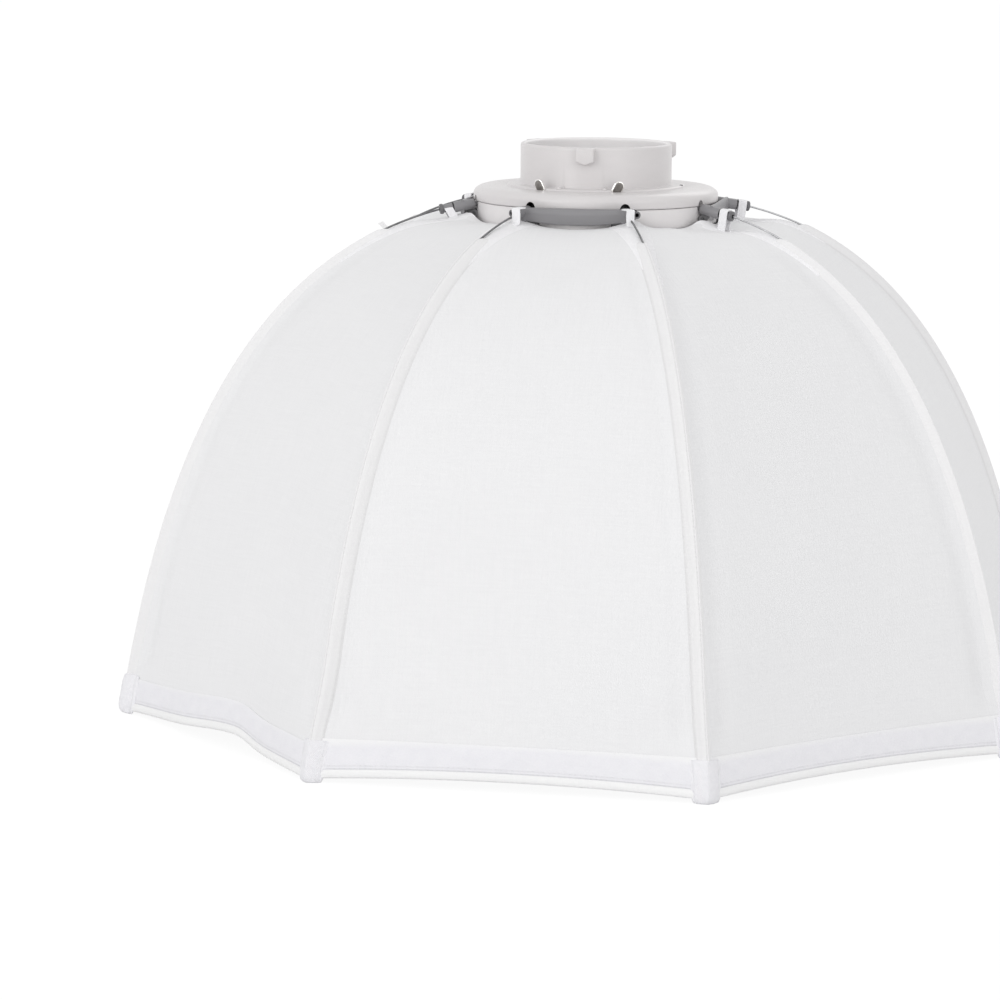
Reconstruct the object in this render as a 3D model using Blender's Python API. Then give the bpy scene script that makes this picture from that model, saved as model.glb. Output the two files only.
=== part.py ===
"""Studio softbox: an eight-panel white fabric dome on a two-part speedring with a three-lug neck.

Sizes are metres, +Z is up. The dome stands on its eight corner caps with the neck on top, and the
origin is on the axis at floor level. Ring sizes are heights above or below the seam between the two
ring halves. Each handle is a bar with two rib sockets, hinged on the lower ring, so that two ribs
fold down together.
"""

import math

import bmesh
import bpy
import numpy as np
from mathutils import Matrix, Vector

MM = 0.001
GAP = 0.3 * MM

# Driving dimensions: the speedring
SEAM_HEIGHT = 329.0 * MM
NECK_RADIUS = 49.0 * MM
NECK_WALL = 3.4 * MM
NECK_TOP = 36.6 * MM
NECK_SKIRT_BOTTOM = -6.0 * MM
NECK_STEP_RADIUS = 55.4 * MM
NECK_STEP_TOP = 11.4 * MM
NECK_TURN = math.radians(2.7)
FLANGE_RADIUS = 79.3 * MM
FLANGE_TOP = 9.9 * MM
LOWER_RING_RADIUS = 76.9 * MM
LOWER_RING_BOTTOM = -12.8 * MM
LOWER_RING_BORE = 50.2 * MM
RING_STEPS = 44

# Bayonet lugs on the neck
LUG_COUNT = 3
LUG_REACH = 54.0 * MM
LUG_HALF_WIDTH = 5.75 * MM
LUG_TOP = 36.3 * MM
LUG_SHOULDER = 28.2 * MM
LUG_POINT = 26.2 * MM

# Spring clip in the groove under the neck's step
GROOVE_INNER = 52.2 * MM
GROOVE_OUTER = 56.0 * MM
GROOVE_FLOOR = 7.3 * MM
CLIP_RADIUS = 54.1 * MM
CLIP_HEIGHT = 8.6 * MM
CLIP_WIRE = 0.95 * MM
CLIP_TURN = math.radians(-2.2)
CLIP_TAB_ANGLE = math.radians(24.3)
CLIP_TAB_FOOT = 1.9 * MM
CLIP_TAB_LENGTH = 7.9 * MM
CLIP_TAB_HALF_WIDTH = 2.6 * MM
CLIP_TAB_HALF_THICKNESS = 0.72 * MM
CLIP_TAB_SPLAY = math.radians(26)
CLIP_TAB_LEAN = math.radians(10)
TAB_SLOT_SPAN = (-3.0 * MM, 5.2 * MM)
TAB_SLOT_RADIUS = 52.9 * MM
STOP_ANGLE = math.radians(15.4)
STOP_HALF_WIDTH = 1.3 * MM
STOP_TOP = 12.2 * MM

# Fold: four handles, two ribs each
HANDLE_HEADINGS = {"front": -90, "right": 0, "rear": 90, "left": 180}
RIB_OFFSET = math.radians(22.5)
HINGE_DISTANCE = 74.4 * MM
HINGE_DROP = -8.2 * MM
PIN_RADIUS = 1.3 * MM
PIN_HOLE_RADIUS = PIN_RADIUS + GAP
PIN_START = 13.0 * MM
PIN_END = 30.6 * MM
EAR_RADIUS = 2.5 * MM
EAR_SPAN = (11.0 * MM, 23.1 * MM)
KNUCKLE_RADIUS = 2.7 * MM
KNUCKLE_SPAN = (23.5 * MM, 30.2 * MM)
KNUCKLE_CLEARANCE = 0.4 * MM
NOTCH_HALF_WIDTH = 2.85 * MM
NOTCH_HALF_HEIGHT = 3.65 * MM
NOTCH_HEIGHT = 0.4 * MM
NOTCH_START = 73.5 * MM

# Rib sockets and the handle's bar
SOCKET_SLOPE = math.radians(8.4)
SOCKET_ANCHOR = (80.3 * MM, -1.8 * MM)
SOCKET_START = 79.8 * MM
SOCKET_MOUTH = 103.0 * MM
SOCKET_RADIUS = 3.6 * MM
SOCKET_BORE = 1.1 * MM
SOCKET_BORE_END = 86.0 * MM
WAIST_RADIUS = 2.7 * MM
WAIST_SPAN = (94.8 * MM, 99.6 * MM)
BAR_DISTANCE = 81.1 * MM
BAR_HALF_DEPTH = 1.4 * MM
BAR_HALF_LENGTH = 36.0 * MM
BAR_TOP = 1.0 * MM
BAR_FOOT = 31.0 * MM
BAR_FOOT_BOTTOM = -10.0 * MM
BAR_BOTTOM_BY_FOOT = -7.2 * MM
BAR_BOTTOM_IN_MIDDLE = -10.4 * MM

# Ribs and canopy
RIB_RADIUS = 0.8 * MM
RIB_START = 87.5 * MM
RIB_STATIONS = 13
CORNER_RADIUS = 309.5 * MM
RIB_EXIT_SLOPE = 0.25
RIB_EXIT_PULL = 85.0 * MM
RIB_CORNER_LEAN = 0.15
RIB_CORNER_PULL = 236.0 * MM
RIB_TIP_CLEARANCE = 6.0 * MM
CLOTH = 0.8 * MM
CLOTH_BELOW_RIB = 1.6 * MM
CLOTH_TOP = 92.0 * MM
CLOTH_TOP_DROP = 6.65 * MM
PANEL_EDGE_GAP = 0.2 * MM
PANEL_SAG = 2.0 * MM
PANEL_SAG_START = 70.0 * MM
HEM_ARCH = 4.0 * MM
HEM_LIFT = 2.6 * MM

# Sewn pockets, corner caps and tape loops
POCKET_TOP = 138.0 * MM
POCKET_HALF_WIDTH = 4.6 * MM
CAP_HEIGHT = 26.0 * MM
CAP_HALF_WIDTH = 9.6 * MM
CAP_FLOOR = 1.6 * MM
CAP_BACK = -5.4 * MM
LOOP_SPAN = (WAIST_SPAN[0] + GAP, WAIST_SPAN[1] - GAP)
LOOP_THICKNESS = 0.9 * MM
LOOP_TAIL = 5.3 * MM
LOOP_TAIL_HALF_WIDTH = 1.4 * MM

# Screws that clamp the ring halves
SCREW_RADIUS = 1.3 * MM
SCREW_HEAD_RADIUS = 3.1 * MM
SCREW_HEAD_HEIGHT = 2.2 * MM
SCREW_PITCH_RADIUS = 63.0 * MM
SCREW_SEAT = -9.2 * MM
SCREW_TIP = 7.4 * MM

MATERIALS = {
    "ring_grey": ((0.74, 0.72, 0.70), 0.45, 0.0),
    "handle_grey": ((0.22, 0.22, 0.23), 0.42, 0.0),
    "spring_steel": ((0.42, 0.42, 0.43), 0.35, 1.0),
    "chrome": ((0.85, 0.84, 0.82), 0.08, 1.0),
    "white_cloth": ((0.86, 0.86, 0.86), 0.9, 0.0),
    "white_tape": ((0.88, 0.88, 0.88), 0.85, 0.0),
}


def clear_scene():
    for obj in list(bpy.data.objects):
        bpy.data.objects.remove(obj, do_unlink=True)


def material(name):
    found = bpy.data.materials.get(name)
    if found:
        return found
    colour, roughness, metallic = MATERIALS[name]
    made = bpy.data.materials.new(name)
    made.use_nodes = True
    shader = made.node_tree.nodes["Principled BSDF"]
    shader.inputs["Base Color"].default_value = (*colour, 1.0)
    shader.inputs["Roughness"].default_value = roughness
    shader.inputs["Metallic"].default_value = metallic
    made.diffuse_color = (*colour, 1.0)
    return made


def skin(rings, closed=False, strip_caps=False):
    """Points and faces of the surface over rings of equal count. Open ends get a cap each, a plain
    face or, for thin sections whose second half runs back along the first, a strip of quads."""
    count = len(rings[0])
    points = [p for ring in rings for p in ring]
    faces = []
    for k in range(len(rings) if closed else len(rings) - 1):
        a = k * count
        b = (k + 1) % len(rings) * count
        for i in range(count):
            j = (i + 1) % count
            faces.append((a + i, a + j, b + j, b + i))
    if not closed:
        for start in (0, (len(rings) - 1) * count):
            if strip_caps:
                half = count // 2
                for i in range(half - 1):
                    faces.append((start + i, start + i + 1, start + count - 2 - i, start + count - 1 - i))
            else:
                faces.append(tuple(range(start, start + count)))
    return points, faces


def merged(*shells):
    points, faces = [], []
    for shell_points, shell_faces in shells:
        base = len(points)
        points += shell_points
        faces += [tuple(i + base for i in face) for face in shell_faces]
    return points, faces


def moved(shell, matrix):
    return [matrix @ p for p in shell[0]], shell[1]


def new_mesh(name, shell):
    mesh = bpy.data.meshes.new(name)
    mesh.from_pydata([tuple(p) for p in shell[0]], [], shell[1])
    bm = bmesh.new()
    bm.from_mesh(mesh)
    bmesh.ops.recalc_face_normals(bm, faces=bm.faces)
    bm.to_mesh(mesh)
    bm.free()
    return mesh


def new_object(name, mesh, material_name):
    obj = bpy.data.objects.new(name, mesh)
    bpy.context.collection.objects.link(obj)
    mesh.materials.clear()
    mesh.materials.append(material(material_name))
    mesh.shade_smooth()
    mesh.set_sharp_from_angle(angle=math.radians(35))
    return obj


def combine(mesh, shell, operation):
    """The mesh after a Boolean with the shell."""
    body = bpy.data.objects.new("body", mesh)
    tool = bpy.data.objects.new("tool", new_mesh("tool", shell))
    for obj in (body, tool):
        bpy.context.collection.objects.link(obj)
    step = body.modifiers.new("step", "BOOLEAN")
    step.operation = operation
    step.solver = "EXACT"
    step.object = tool
    depsgraph = bpy.context.evaluated_depsgraph_get()
    result = bpy.data.meshes.new_from_object(body.evaluated_get(depsgraph))
    for obj in (body, tool):
        bpy.data.objects.remove(obj, do_unlink=True)
    result.name = mesh.name
    return result


def turned(angle):
    return Matrix.Rotation(angle, 4, "Z")


def revolve(profile, steps=RING_STEPS):
    """A ring from a closed (radius, height) outline."""
    rings = []
    for k in range(steps):
        turn = turned(2 * math.pi * k / steps)
        rings.append([turn @ Vector((r, 0, z)) for r, z in profile])
    return skin(rings, closed=True)


def lathe(stations, frame, sides):
    """A solid turned about the frame's X axis from (distance, radius) stations."""
    rings = []
    for x, radius in stations:
        ring = []
        for k in range(sides):
            a = 2 * math.pi * k / sides
            ring.append(frame @ Vector((x, radius * math.cos(a), radius * math.sin(a))))
        rings.append(ring)
    return skin(rings)


def prism(outline, start, end, place):
    """An outline of 2D points extruded from start to end, each point put in space by place(a, b, depth)."""
    return skin([[place(a, b, depth) for a, b in outline] for depth in (start, end)])


def arc_points(centre, radius, first, last, count):
    steps = [first + (last - first) * k / (count - 1) for k in range(count)]
    return [(centre[0] + radius * math.cos(a), centre[1] + radius * math.sin(a)) for a in steps]


def bar_x_y_z(u, z, t):
    """Handle frame: u outward, t along the hinge, z up."""
    return Vector((u, t, z))


# The path of a rib in its own radial plane


def socket_height(r):
    return SOCKET_ANCHOR[1] - (r - SOCKET_ANCHOR[0]) * math.tan(SOCKET_SLOPE)


def rib_curve():
    """Dense (arc length, radius, height) samples, from inside the socket to floor level."""
    mouth = np.array([SOCKET_MOUTH, socket_height(SOCKET_MOUTH)])
    corner = np.array([CORNER_RADIUS, -SEAM_HEIGHT])
    leave = RIB_EXIT_PULL * np.array([math.cos(RIB_EXIT_SLOPE), -math.sin(RIB_EXIT_SLOPE)])
    arrive = RIB_CORNER_PULL * np.array([-math.sin(RIB_CORNER_LEAN), math.cos(RIB_CORNER_LEAN)])
    t = np.linspace(0, 1, 400)[:, None]
    curve = (
        (1 - t) ** 3 * mouth
        + 3 * (1 - t) ** 2 * t * (mouth + leave)
        + 3 * (1 - t) * t**2 * (corner + arrive)
        + t**3 * corner
    )
    start = np.array([[RIB_START, socket_height(RIB_START)]])
    path = np.vstack([start, curve])
    along = np.concatenate([[0], np.cumsum(np.linalg.norm(np.diff(path, axis=0), axis=1))])
    return along - along[1], path[:, 0], path[:, 1]


ALONG, PATH_R, PATH_Z = rib_curve()
RIB_LENGTH = float(ALONG[-1])
STATIONS = [RIB_LENGTH * k / RIB_STATIONS for k in range(RIB_STATIONS + 1)]


def length_at_radius(r):
    return float(np.interp(r, PATH_R, ALONG))


def rib_frame(s):
    """Point, outward normal and slope below level of the path at arc length s."""
    step = 1.0 * MM
    low = max(s - step, float(ALONG[0]))
    high = min(s + step, RIB_LENGTH)
    point = np.array([np.interp(s, ALONG, PATH_R), np.interp(s, ALONG, PATH_Z)])
    dr = np.interp(high, ALONG, PATH_R) - np.interp(low, ALONG, PATH_R)
    dz = np.interp(high, ALONG, PATH_Z) - np.interp(low, ALONG, PATH_Z)
    length = math.hypot(dr, dz)
    return point, np.array([-dz, dr]) / length, math.atan2(-dz, dr)


def rib_place(s, across, out):
    """A point beside the path: across is sideways, out is along the outward normal."""
    point, normal, _ = rib_frame(s)
    r, z = point + out * normal
    return Vector((r, across, z))


def stations_between(first, last):
    inner = [s for s in STATIONS if first + 2 * MM < s < last - 2 * MM]
    return [first, *inner, last]


# Speedring pieces


def mount_insert():
    inner = NECK_RADIUS - NECK_WALL
    chamfer = 0.6 * MM
    step_top = NECK_STEP_TOP
    step_bottom = FLANGE_TOP + GAP
    skirt = NECK_RADIUS + 0.2 * MM
    profile = [
        (inner + chamfer, NECK_TOP),
        (NECK_RADIUS - chamfer, NECK_TOP),
        (NECK_RADIUS, NECK_TOP - chamfer),
        (NECK_RADIUS, step_top),
        (NECK_STEP_RADIUS - chamfer, step_top),
        (NECK_STEP_RADIUS, step_top - chamfer),
        (NECK_STEP_RADIUS, step_bottom),
        (skirt, step_bottom),
        (skirt, NECK_SKIRT_BOTTOM),
        (inner + chamfer, NECK_SKIRT_BOTTOM),
        (inner, NECK_SKIRT_BOTTOM + chamfer),
        (inner, NECK_TOP - chamfer),
    ]
    mesh = new_mesh("mount_insert", revolve(profile))
    spread = [math.radians(-90 + 360 * k / LUG_COUNT) + NECK_TURN for k in range(LUG_COUNT)]
    lugs = [moved(bayonet_lug(), turned(heading)) for heading in spread]
    stops = [moved(step_stop(), turned(math.radians(-90) + side * STOP_ANGLE)) for side in (-1, 1)]
    mesh = combine(mesh, merged(*lugs, *stops), "UNION")
    mesh = combine(mesh, merged(*[tab_slot(side) for side in (-1, 1)]), "DIFFERENCE")
    return new_object("mount_insert", mesh, "ring_grey")


def step_stop():
    """A small round-topped boss on the neck's step, beside a finger tab."""
    outline = [(-STOP_HALF_WIDTH, NECK_STEP_TOP - 0.6 * MM), (STOP_HALF_WIDTH, NECK_STEP_TOP - 0.6 * MM)]
    outline += arc_points((0, STOP_TOP - STOP_HALF_WIDTH), STOP_HALF_WIDTH, 0, math.pi, 5)
    return prism(outline, NECK_RADIUS - 1 * MM, NECK_STEP_RADIUS - 0.8 * MM, lambda t, z, r: Vector((r, t, z)))


def clip_frame(side):
    """Where the clip's wire meets a finger tab: X points outward and Y round the ring."""
    return turned(math.radians(-90) + CLIP_TURN + side * CLIP_TAB_ANGLE)


def tab_slot(side):
    """The opening in the neck's step that a finger tab comes up through."""
    low, high = sorted(side * t for t in TAB_SLOT_SPAN)
    reach = NECK_STEP_RADIUS + 2 * MM
    outline = [(TAB_SLOT_RADIUS, low), (reach, low), (reach, high), (TAB_SLOT_RADIUS, high)]
    cutter = prism(outline, FLANGE_TOP - 1 * MM, NECK_STEP_TOP + 1 * MM, lambda x, y, z: Vector((x, y, z)))
    return moved(cutter, clip_frame(side))


def bayonet_lug():
    """A flat-topped lug whose underside comes to a shallow point, with eased outer edges."""
    ease = 0.6 * MM

    def outline(inset):
        w = LUG_HALF_WIDTH - inset
        return [
            (-w, LUG_TOP - inset),
            (w, LUG_TOP - inset),
            (w, LUG_SHOULDER + inset),
            (0, LUG_POINT + inset),
            (-w, LUG_SHOULDER + inset),
        ]

    layers = [(NECK_RADIUS - NECK_WALL / 2, 0), (LUG_REACH - ease, 0), (LUG_REACH, ease)]
    return skin([[Vector((r, t, z)) for t, z in outline(inset)] for r, inset in layers])


def rib_headings():
    """(name, handle, heading, side) of the eight ribs, counted round from the front handle."""
    found = []
    for handle, degrees in HANDLE_HEADINGS.items():
        for side in (-1, 1):
            number = len(found) + 1
            found.append((number, handle, math.radians(degrees) + side * RIB_OFFSET, side))
    return found


def rib_notches():
    """Upright oval rods through the seam, one over each rib socket."""
    stations = [(NOTCH_START, NOTCH_HALF_WIDTH), (FLANGE_RADIUS + 4.0 * MM, NOTCH_HALF_WIDTH)]
    tall = Matrix.Diagonal((1, 1, NOTCH_HALF_HEIGHT / NOTCH_HALF_WIDTH, 1))
    oval = Matrix.Translation((0, 0, NOTCH_HEIGHT)) @ tall
    return [lathe(stations, turned(heading) @ oval, 12) for _, _, heading, _ in rib_headings()]


def screw_frames():
    frames = []
    for k in range(4):
        stand = Matrix.Translation((SCREW_PITCH_RADIUS, 0, 0)) @ Matrix.Rotation(-math.pi / 2, 4, "Y")
        frames.append(turned(math.radians(45 + 90 * k)) @ stand)
    return frames


def flange():
    half_gap = GAP / 2
    profile = [
        (NECK_RADIUS + 0.6 * MM, FLANGE_TOP),
        (GROOVE_INNER, FLANGE_TOP),
        (GROOVE_INNER, GROOVE_FLOOR),
        (GROOVE_OUTER, GROOVE_FLOOR),
        (GROOVE_OUTER, FLANGE_TOP - 0.1 * MM),
        (67.0 * MM, 9.3 * MM),
        (74.0 * MM, 8.3 * MM),
        (77.2 * MM, 7.1 * MM),
        (78.8 * MM, 5.5 * MM),
        (FLANGE_RADIUS, 3.9 * MM),
        (78.8 * MM, 2.0 * MM),
        (LOWER_RING_RADIUS + 0.3 * MM, half_gap),
        (NECK_RADIUS + 0.6 * MM, half_gap),
    ]
    mesh = new_mesh("flange", revolve(profile))
    hole = SCREW_RADIUS + GAP
    holes = [lathe([(-2 * MM, hole), (SCREW_TIP + 0.8 * MM, hole)], frame, 8) for frame in screw_frames()]
    mesh = combine(mesh, merged(*rib_notches(), *holes), "DIFFERENCE")
    return new_object("flange", mesh, "ring_grey")


def lower_ring():
    half_gap = GAP / 2
    bottom = LOWER_RING_BOTTOM
    profile = [
        (LOWER_RING_BORE, -half_gap),
        (LOWER_RING_RADIUS - 0.8 * MM, -half_gap),
        (LOWER_RING_RADIUS, -0.9 * MM),
        (LOWER_RING_RADIUS, bottom + 1.8 * MM),
        (LOWER_RING_RADIUS - 0.6 * MM, bottom + 0.5 * MM),
        (LOWER_RING_RADIUS - 1.8 * MM, bottom),
        (LOWER_RING_BORE + 0.5 * MM, bottom),
        (LOWER_RING_BORE, bottom + 0.5 * MM),
    ]
    mesh = new_mesh("lower_ring", revolve(profile))
    quarter_turns = [turned(math.radians(degrees)) for degrees in HANDLE_HEADINGS.values()]
    sides = [(side, turn) for turn in quarter_turns for side in (-1, 1)]
    mesh = combine(mesh, merged(*[moved(hinge_ear(side), turn) for side, turn in sides]), "UNION")
    seat = SCREW_SEAT + GAP
    hole = SCREW_RADIUS + GAP
    head_hole = SCREW_HEAD_RADIUS + GAP
    stations = [(bottom - 2 * MM, head_hole), (seat, head_hole), (seat, hole), (2 * MM, hole)]
    holes = [lathe(stations, frame, 8) for frame in screw_frames()]
    bores = [moved(pin_shape(side, PIN_HOLE_RADIUS, 1 * MM), turn) for side, turn in sides]
    recesses = [moved(knuckle_recess(side), turn) for side, turn in sides]
    mesh = combine(mesh, merged(*holes, *bores), "DIFFERENCE")
    for cutters in (recesses, rib_notches()):
        mesh = combine(mesh, merged(*cutters), "DIFFERENCE")
    return new_object("lower_ring", mesh, "ring_grey")


def hinge_ear(side):
    centre = (HINGE_DISTANCE, HINGE_DROP)
    outline = arc_points(centre, EAR_RADIUS, -math.pi / 2, math.pi / 2, 6)
    root = HINGE_DISTANCE - 6 * MM
    outline += [(root, HINGE_DROP + EAR_RADIUS), (root, HINGE_DROP - EAR_RADIUS)]
    return prism(outline, side * EAR_SPAN[0], side * EAR_SPAN[1], bar_x_y_z)


def hinge_rod(side, stations):
    """A solid turned about the hinge line of a handle, from (distance along it, radius) stations."""
    frame = Matrix.Translation((HINGE_DISTANCE, 0, HINGE_DROP)) @ turned(side * math.pi / 2)
    return lathe(stations, frame, 8)


def knuckle_recess(side):
    """Room in the ring's wall for a handle's hinge knuckle."""
    radius = KNUCKLE_RADIUS + KNUCKLE_CLEARANCE
    start = EAR_SPAN[1] - 0.2 * MM
    return hinge_rod(side, [(start, radius), (KNUCKLE_SPAN[1] + 3 * MM, radius)])


def pin_shape(side, radius, extra=0.0):
    """A hinge pin, or its bore, along the hinge line of a handle."""
    ease = 0.3 * MM
    start = PIN_START - extra
    end = PIN_END + extra
    stations = [(start, radius - ease), (start + ease, radius), (end - ease, radius), (end, radius - ease)]
    return hinge_rod(side, stations)


def retaining_clip():
    """A round spring wire in the groove, open at the front, with a flat finger tab on each end."""
    inside = CLIP_WIRE * 0.6
    lead = CLIP_TAB_ANGLE + (CLIP_TAB_HALF_WIDTH + 0.4 * MM) / CLIP_RADIUS
    steps = 26
    stations = [(CLIP_TAB_ANGLE, inside)]
    stations += [(lead + (2 * math.pi - 2 * lead) * k / steps, CLIP_WIRE) for k in range(steps + 1)]
    stations.append((2 * math.pi - CLIP_TAB_ANGLE, inside))
    rings = []
    for angle, radius in stations:
        turn = turned(math.radians(-90) + CLIP_TURN + angle)
        section = arc_points((CLIP_RADIUS, CLIP_HEIGHT), radius, 0, math.radians(300), 6)
        rings.append([turn @ Vector((r, 0, z)) for r, z in section])
    mesh = new_mesh("retaining_clip", skin(rings))
    mesh = combine(mesh, merged(*[finger_tab(side) for side in (-1, 1)]), "UNION")
    return new_object("retaining_clip", mesh, "chrome")


def finger_tab(side):
    """A flat tab with round ends, rising from the wire, splayed back along it and leaning outward."""
    w = CLIP_TAB_HALF_WIDTH
    outline = arc_points((0, CLIP_TAB_FOOT), w, math.pi, 2 * math.pi, 7)
    outline += arc_points((0, CLIP_TAB_LENGTH - w), w, 0, math.pi, 7)
    tilt = Matrix.Rotation(-side * CLIP_TAB_SPLAY, 4, "X") @ Matrix.Rotation(CLIP_TAB_LEAN, 4, "Y")
    frame = clip_frame(side) @ Matrix.Translation((CLIP_RADIUS, 0, CLIP_HEIGHT)) @ tilt
    half = CLIP_TAB_HALF_THICKNESS
    return prism(outline, -half, half, lambda t, z, x: frame @ Vector((x, t, z)))


def ring_screws():
    shank = SCREW_RADIUS
    head = SCREW_HEAD_RADIUS
    ease = 0.5 * MM
    drive = 1.25 * MM
    bottom = SCREW_SEAT - SCREW_HEAD_HEIGHT
    stations = [
        (bottom + 1.3 * MM, drive),
        (bottom, drive),
        (bottom, head - ease),
        (bottom + ease, head),
        (SCREW_SEAT, head),
        (SCREW_SEAT, shank),
        (SCREW_TIP - shank, shank),
        (SCREW_TIP, shank / 3),
    ]
    for number, frame in enumerate(screw_frames(), 1):
        mesh = new_mesh(f"ring_screw_{number}", lathe(stations, frame, 8))
        yield new_object(f"ring_screw_{number}", mesh, "spring_steel")


# One folding handle and what it carries


def socket_frame():
    """Origin on the socket's axis above the hinge region, X along the socket."""
    anchor = Matrix.Translation((SOCKET_ANCHOR[0], 0, SOCKET_ANCHOR[1]))
    return anchor @ Matrix.Rotation(SOCKET_SLOPE, 4, "Y")


def socket_shape():
    """A turned rib socket: locating nose, inner collar, barrel, waist for the loop and end collar."""
    ease = 0.5 * MM
    inner_collar = SOCKET_RADIUS + 0.4 * MM
    collar = SOCKET_RADIUS - 0.1 * MM
    radii = [
        (75.2 * MM, 0.7 * MM),
        (75.7 * MM, 1.2 * MM),
        (SOCKET_START, 1.5 * MM),
        (SOCKET_START, inner_collar),
        (SOCKET_START + 1.4 * MM, inner_collar),
        (SOCKET_START + 1.8 * MM, SOCKET_RADIUS),
        (WAIST_SPAN[0] - ease, SOCKET_RADIUS),
        (WAIST_SPAN[0], WAIST_RADIUS),
        (WAIST_SPAN[1], WAIST_RADIUS),
        (WAIST_SPAN[1] + ease, collar),
        (SOCKET_MOUTH - ease, collar),
        (SOCKET_MOUTH, collar - ease),
    ]
    return lathe([(socket_depth(r), radius) for r, radius in radii], socket_frame(), 10)


def socket_depth(r):
    """Distance along the socket's axis at a radius from the ring's axis."""
    return (r - SOCKET_ANCHOR[0]) / math.cos(SOCKET_SLOPE)


def socket_bore():
    ends = (SOCKET_BORE_END, SOCKET_MOUTH + 2 * MM)
    return lathe([(socket_depth(r), SOCKET_BORE) for r in ends], socket_frame(), 8)


def bar_section(bottom):
    """Outline of the bar as (outward offset, height): a D with a ridge along its outer face."""
    height = BAR_TOP - bottom
    shape = [
        (-0.9, 0.0),
        (-1.0, 0.1),
        (-1.0, 0.95),
        (-0.7, 1.0),
        (0.5, 1.0),
        (1.0, 0.85),
        (1.15, 0.66),
        (0.95, 0.08),
        (0.6, 0.0),
    ]
    return [(x * BAR_HALF_DEPTH, bottom + share * height) for x, share in shape]


def handle_bar():
    """A straight bar whose lower edge bows down in the middle and steps down to a foot at each end."""
    step = 0.5 * MM
    ease = 0.8 * MM
    half = [(BAR_HALF_LENGTH, BAR_FOOT_BOTTOM + ease), (BAR_HALF_LENGTH - ease, BAR_FOOT_BOTTOM)]
    half.append((BAR_FOOT, BAR_FOOT_BOTTOM))
    for share in (1.0, 0.67, 0.33):
        bow = (BAR_BOTTOM_IN_MIDDLE - BAR_BOTTOM_BY_FOOT) * (1 - share**2)
        half.append((share * (BAR_FOOT - step), BAR_BOTTOM_BY_FOOT + bow))
    whole = [(-t, bottom) for t, bottom in half] + [(0.0, BAR_BOTTOM_IN_MIDDLE)] + half[::-1]
    rings = []
    for t, bottom in whole:
        rings.append([Vector((BAR_DISTANCE + x, t, z)) for x, z in bar_section(bottom)])
    return skin(rings)


def hinge_knuckle(side):
    centre = (HINGE_DISTANCE, HINGE_DROP)
    outline = arc_points(centre, KNUCKLE_RADIUS, math.radians(100), math.radians(350), 7)
    root = BAR_DISTANCE - 0.2 * MM
    outline += [(root, -6.0 * MM), (root, -3.0 * MM), (HINGE_DISTANCE + 2.2 * MM, -3.0 * MM)]
    return prism(outline, side * KNUCKLE_SPAN[0], side * KNUCKLE_SPAN[1], bar_x_y_z)


def handle_mesh():
    mesh = new_mesh("handle", handle_bar())
    sockets = [moved(socket_shape(), turned(side * RIB_OFFSET)) for side in (-1, 1)]
    for shell in sockets:
        mesh = combine(mesh, shell, "UNION")
    for side in (-1, 1):
        mesh = combine(mesh, hinge_knuckle(side), "UNION")
    bores = [pin_shape(side, PIN_HOLE_RADIUS, 1 * MM) for side in (-1, 1)]
    bores += [moved(socket_bore(), turned(side * RIB_OFFSET)) for side in (-1, 1)]
    return combine(mesh, merged(*bores), "DIFFERENCE")


def rib_mesh():
    last = RIB_LENGTH - RIB_TIP_CLEARANCE
    stops = [float(ALONG[0]), *stations_between(0.0, last)]
    rings = []
    for s in stops:
        ring = []
        for k in range(6):
            a = 2 * math.pi * k / 6
            ring.append(rib_place(s, RIB_RADIUS * math.cos(a), RIB_RADIUS * math.sin(a)))
        rings.append(ring)
    return new_mesh("rib", skin(rings))


def ridge_fall(s, across):
    """How far the two panels beside a rib fall away from it at a sideways distance."""
    slope = rib_frame(s)[2]
    return abs(across) * math.tan(RIB_OFFSET) * max(math.sin(slope), 0)


def mirrored(half):
    """A whole section from its right half, which runs from the edge to the middle."""
    return [(-a, out) for a, out in half] + half[-2::-1]


def arched_strip(stops, outer, inner):
    """A thin arched strip along the rib. outer and inner are (across, out) points, left to right."""
    rings = []
    for s in stops:
        section = [*outer, *reversed(inner)]
        rings.append([rib_place(s, a, out - ridge_fall(s, a)) for a, out in section])
    return skin(rings, strip_caps=True)


def rib_pocket_mesh():
    """The sewn sleeve over the rib, from the bare stretch below the socket to the corner cap."""
    w = POCKET_HALF_WIDTH
    edge = -CLOTH_BELOW_RIB + GAP
    outer = mirrored([(w, edge + 0.5 * MM), (0.5 * w, 1.9 * MM), (0, 2.6 * MM)])
    inner = mirrored([(w, edge), (0.46 * w, 1.1 * MM), (0, 1.8 * MM)])
    stops = stations_between(length_at_radius(POCKET_TOP), RIB_LENGTH - CAP_HEIGHT - GAP)
    return new_mesh("rib_pocket", arched_strip(stops, outer, inner))


def corner_cap_mesh():
    """A stitched pocket over the rib's tip, closed by a flat floor that the softbox stands on."""
    w = CAP_HALF_WIDTH
    edge = -CLOTH_BELOW_RIB + GAP
    outer = mirrored([(w, edge + 1.2 * MM), (0.4 * w, 3.0 * MM), (0, 3.6 * MM)])
    inner = mirrored([(w, edge), (0.38 * w, 1.7 * MM), (0, 2.2 * MM)])
    stops = [RIB_LENGTH - CAP_HEIGHT, RIB_LENGTH - CAP_HEIGHT / 2, RIB_LENGTH - CAP_FLOOR / 2]
    mesh = new_mesh("corner_cap", arched_strip(stops, outer, inner))
    rim = [rib_place(RIB_LENGTH, a, out - ridge_fall(RIB_LENGTH, a)) for a, out in outer]
    back = [rib_place(RIB_LENGTH, a, CAP_BACK - ridge_fall(RIB_LENGTH, a)) for a in (w, 0, -w)]
    footprint = [(p.x, p.y) for p in (*rim, *back)]
    floor = prism(footprint, -SEAM_HEIGHT, -SEAM_HEIGHT + CAP_FLOOR, lambda x, y, z: Vector((x, y, z)))
    return combine(mesh, floor, "UNION")


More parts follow.
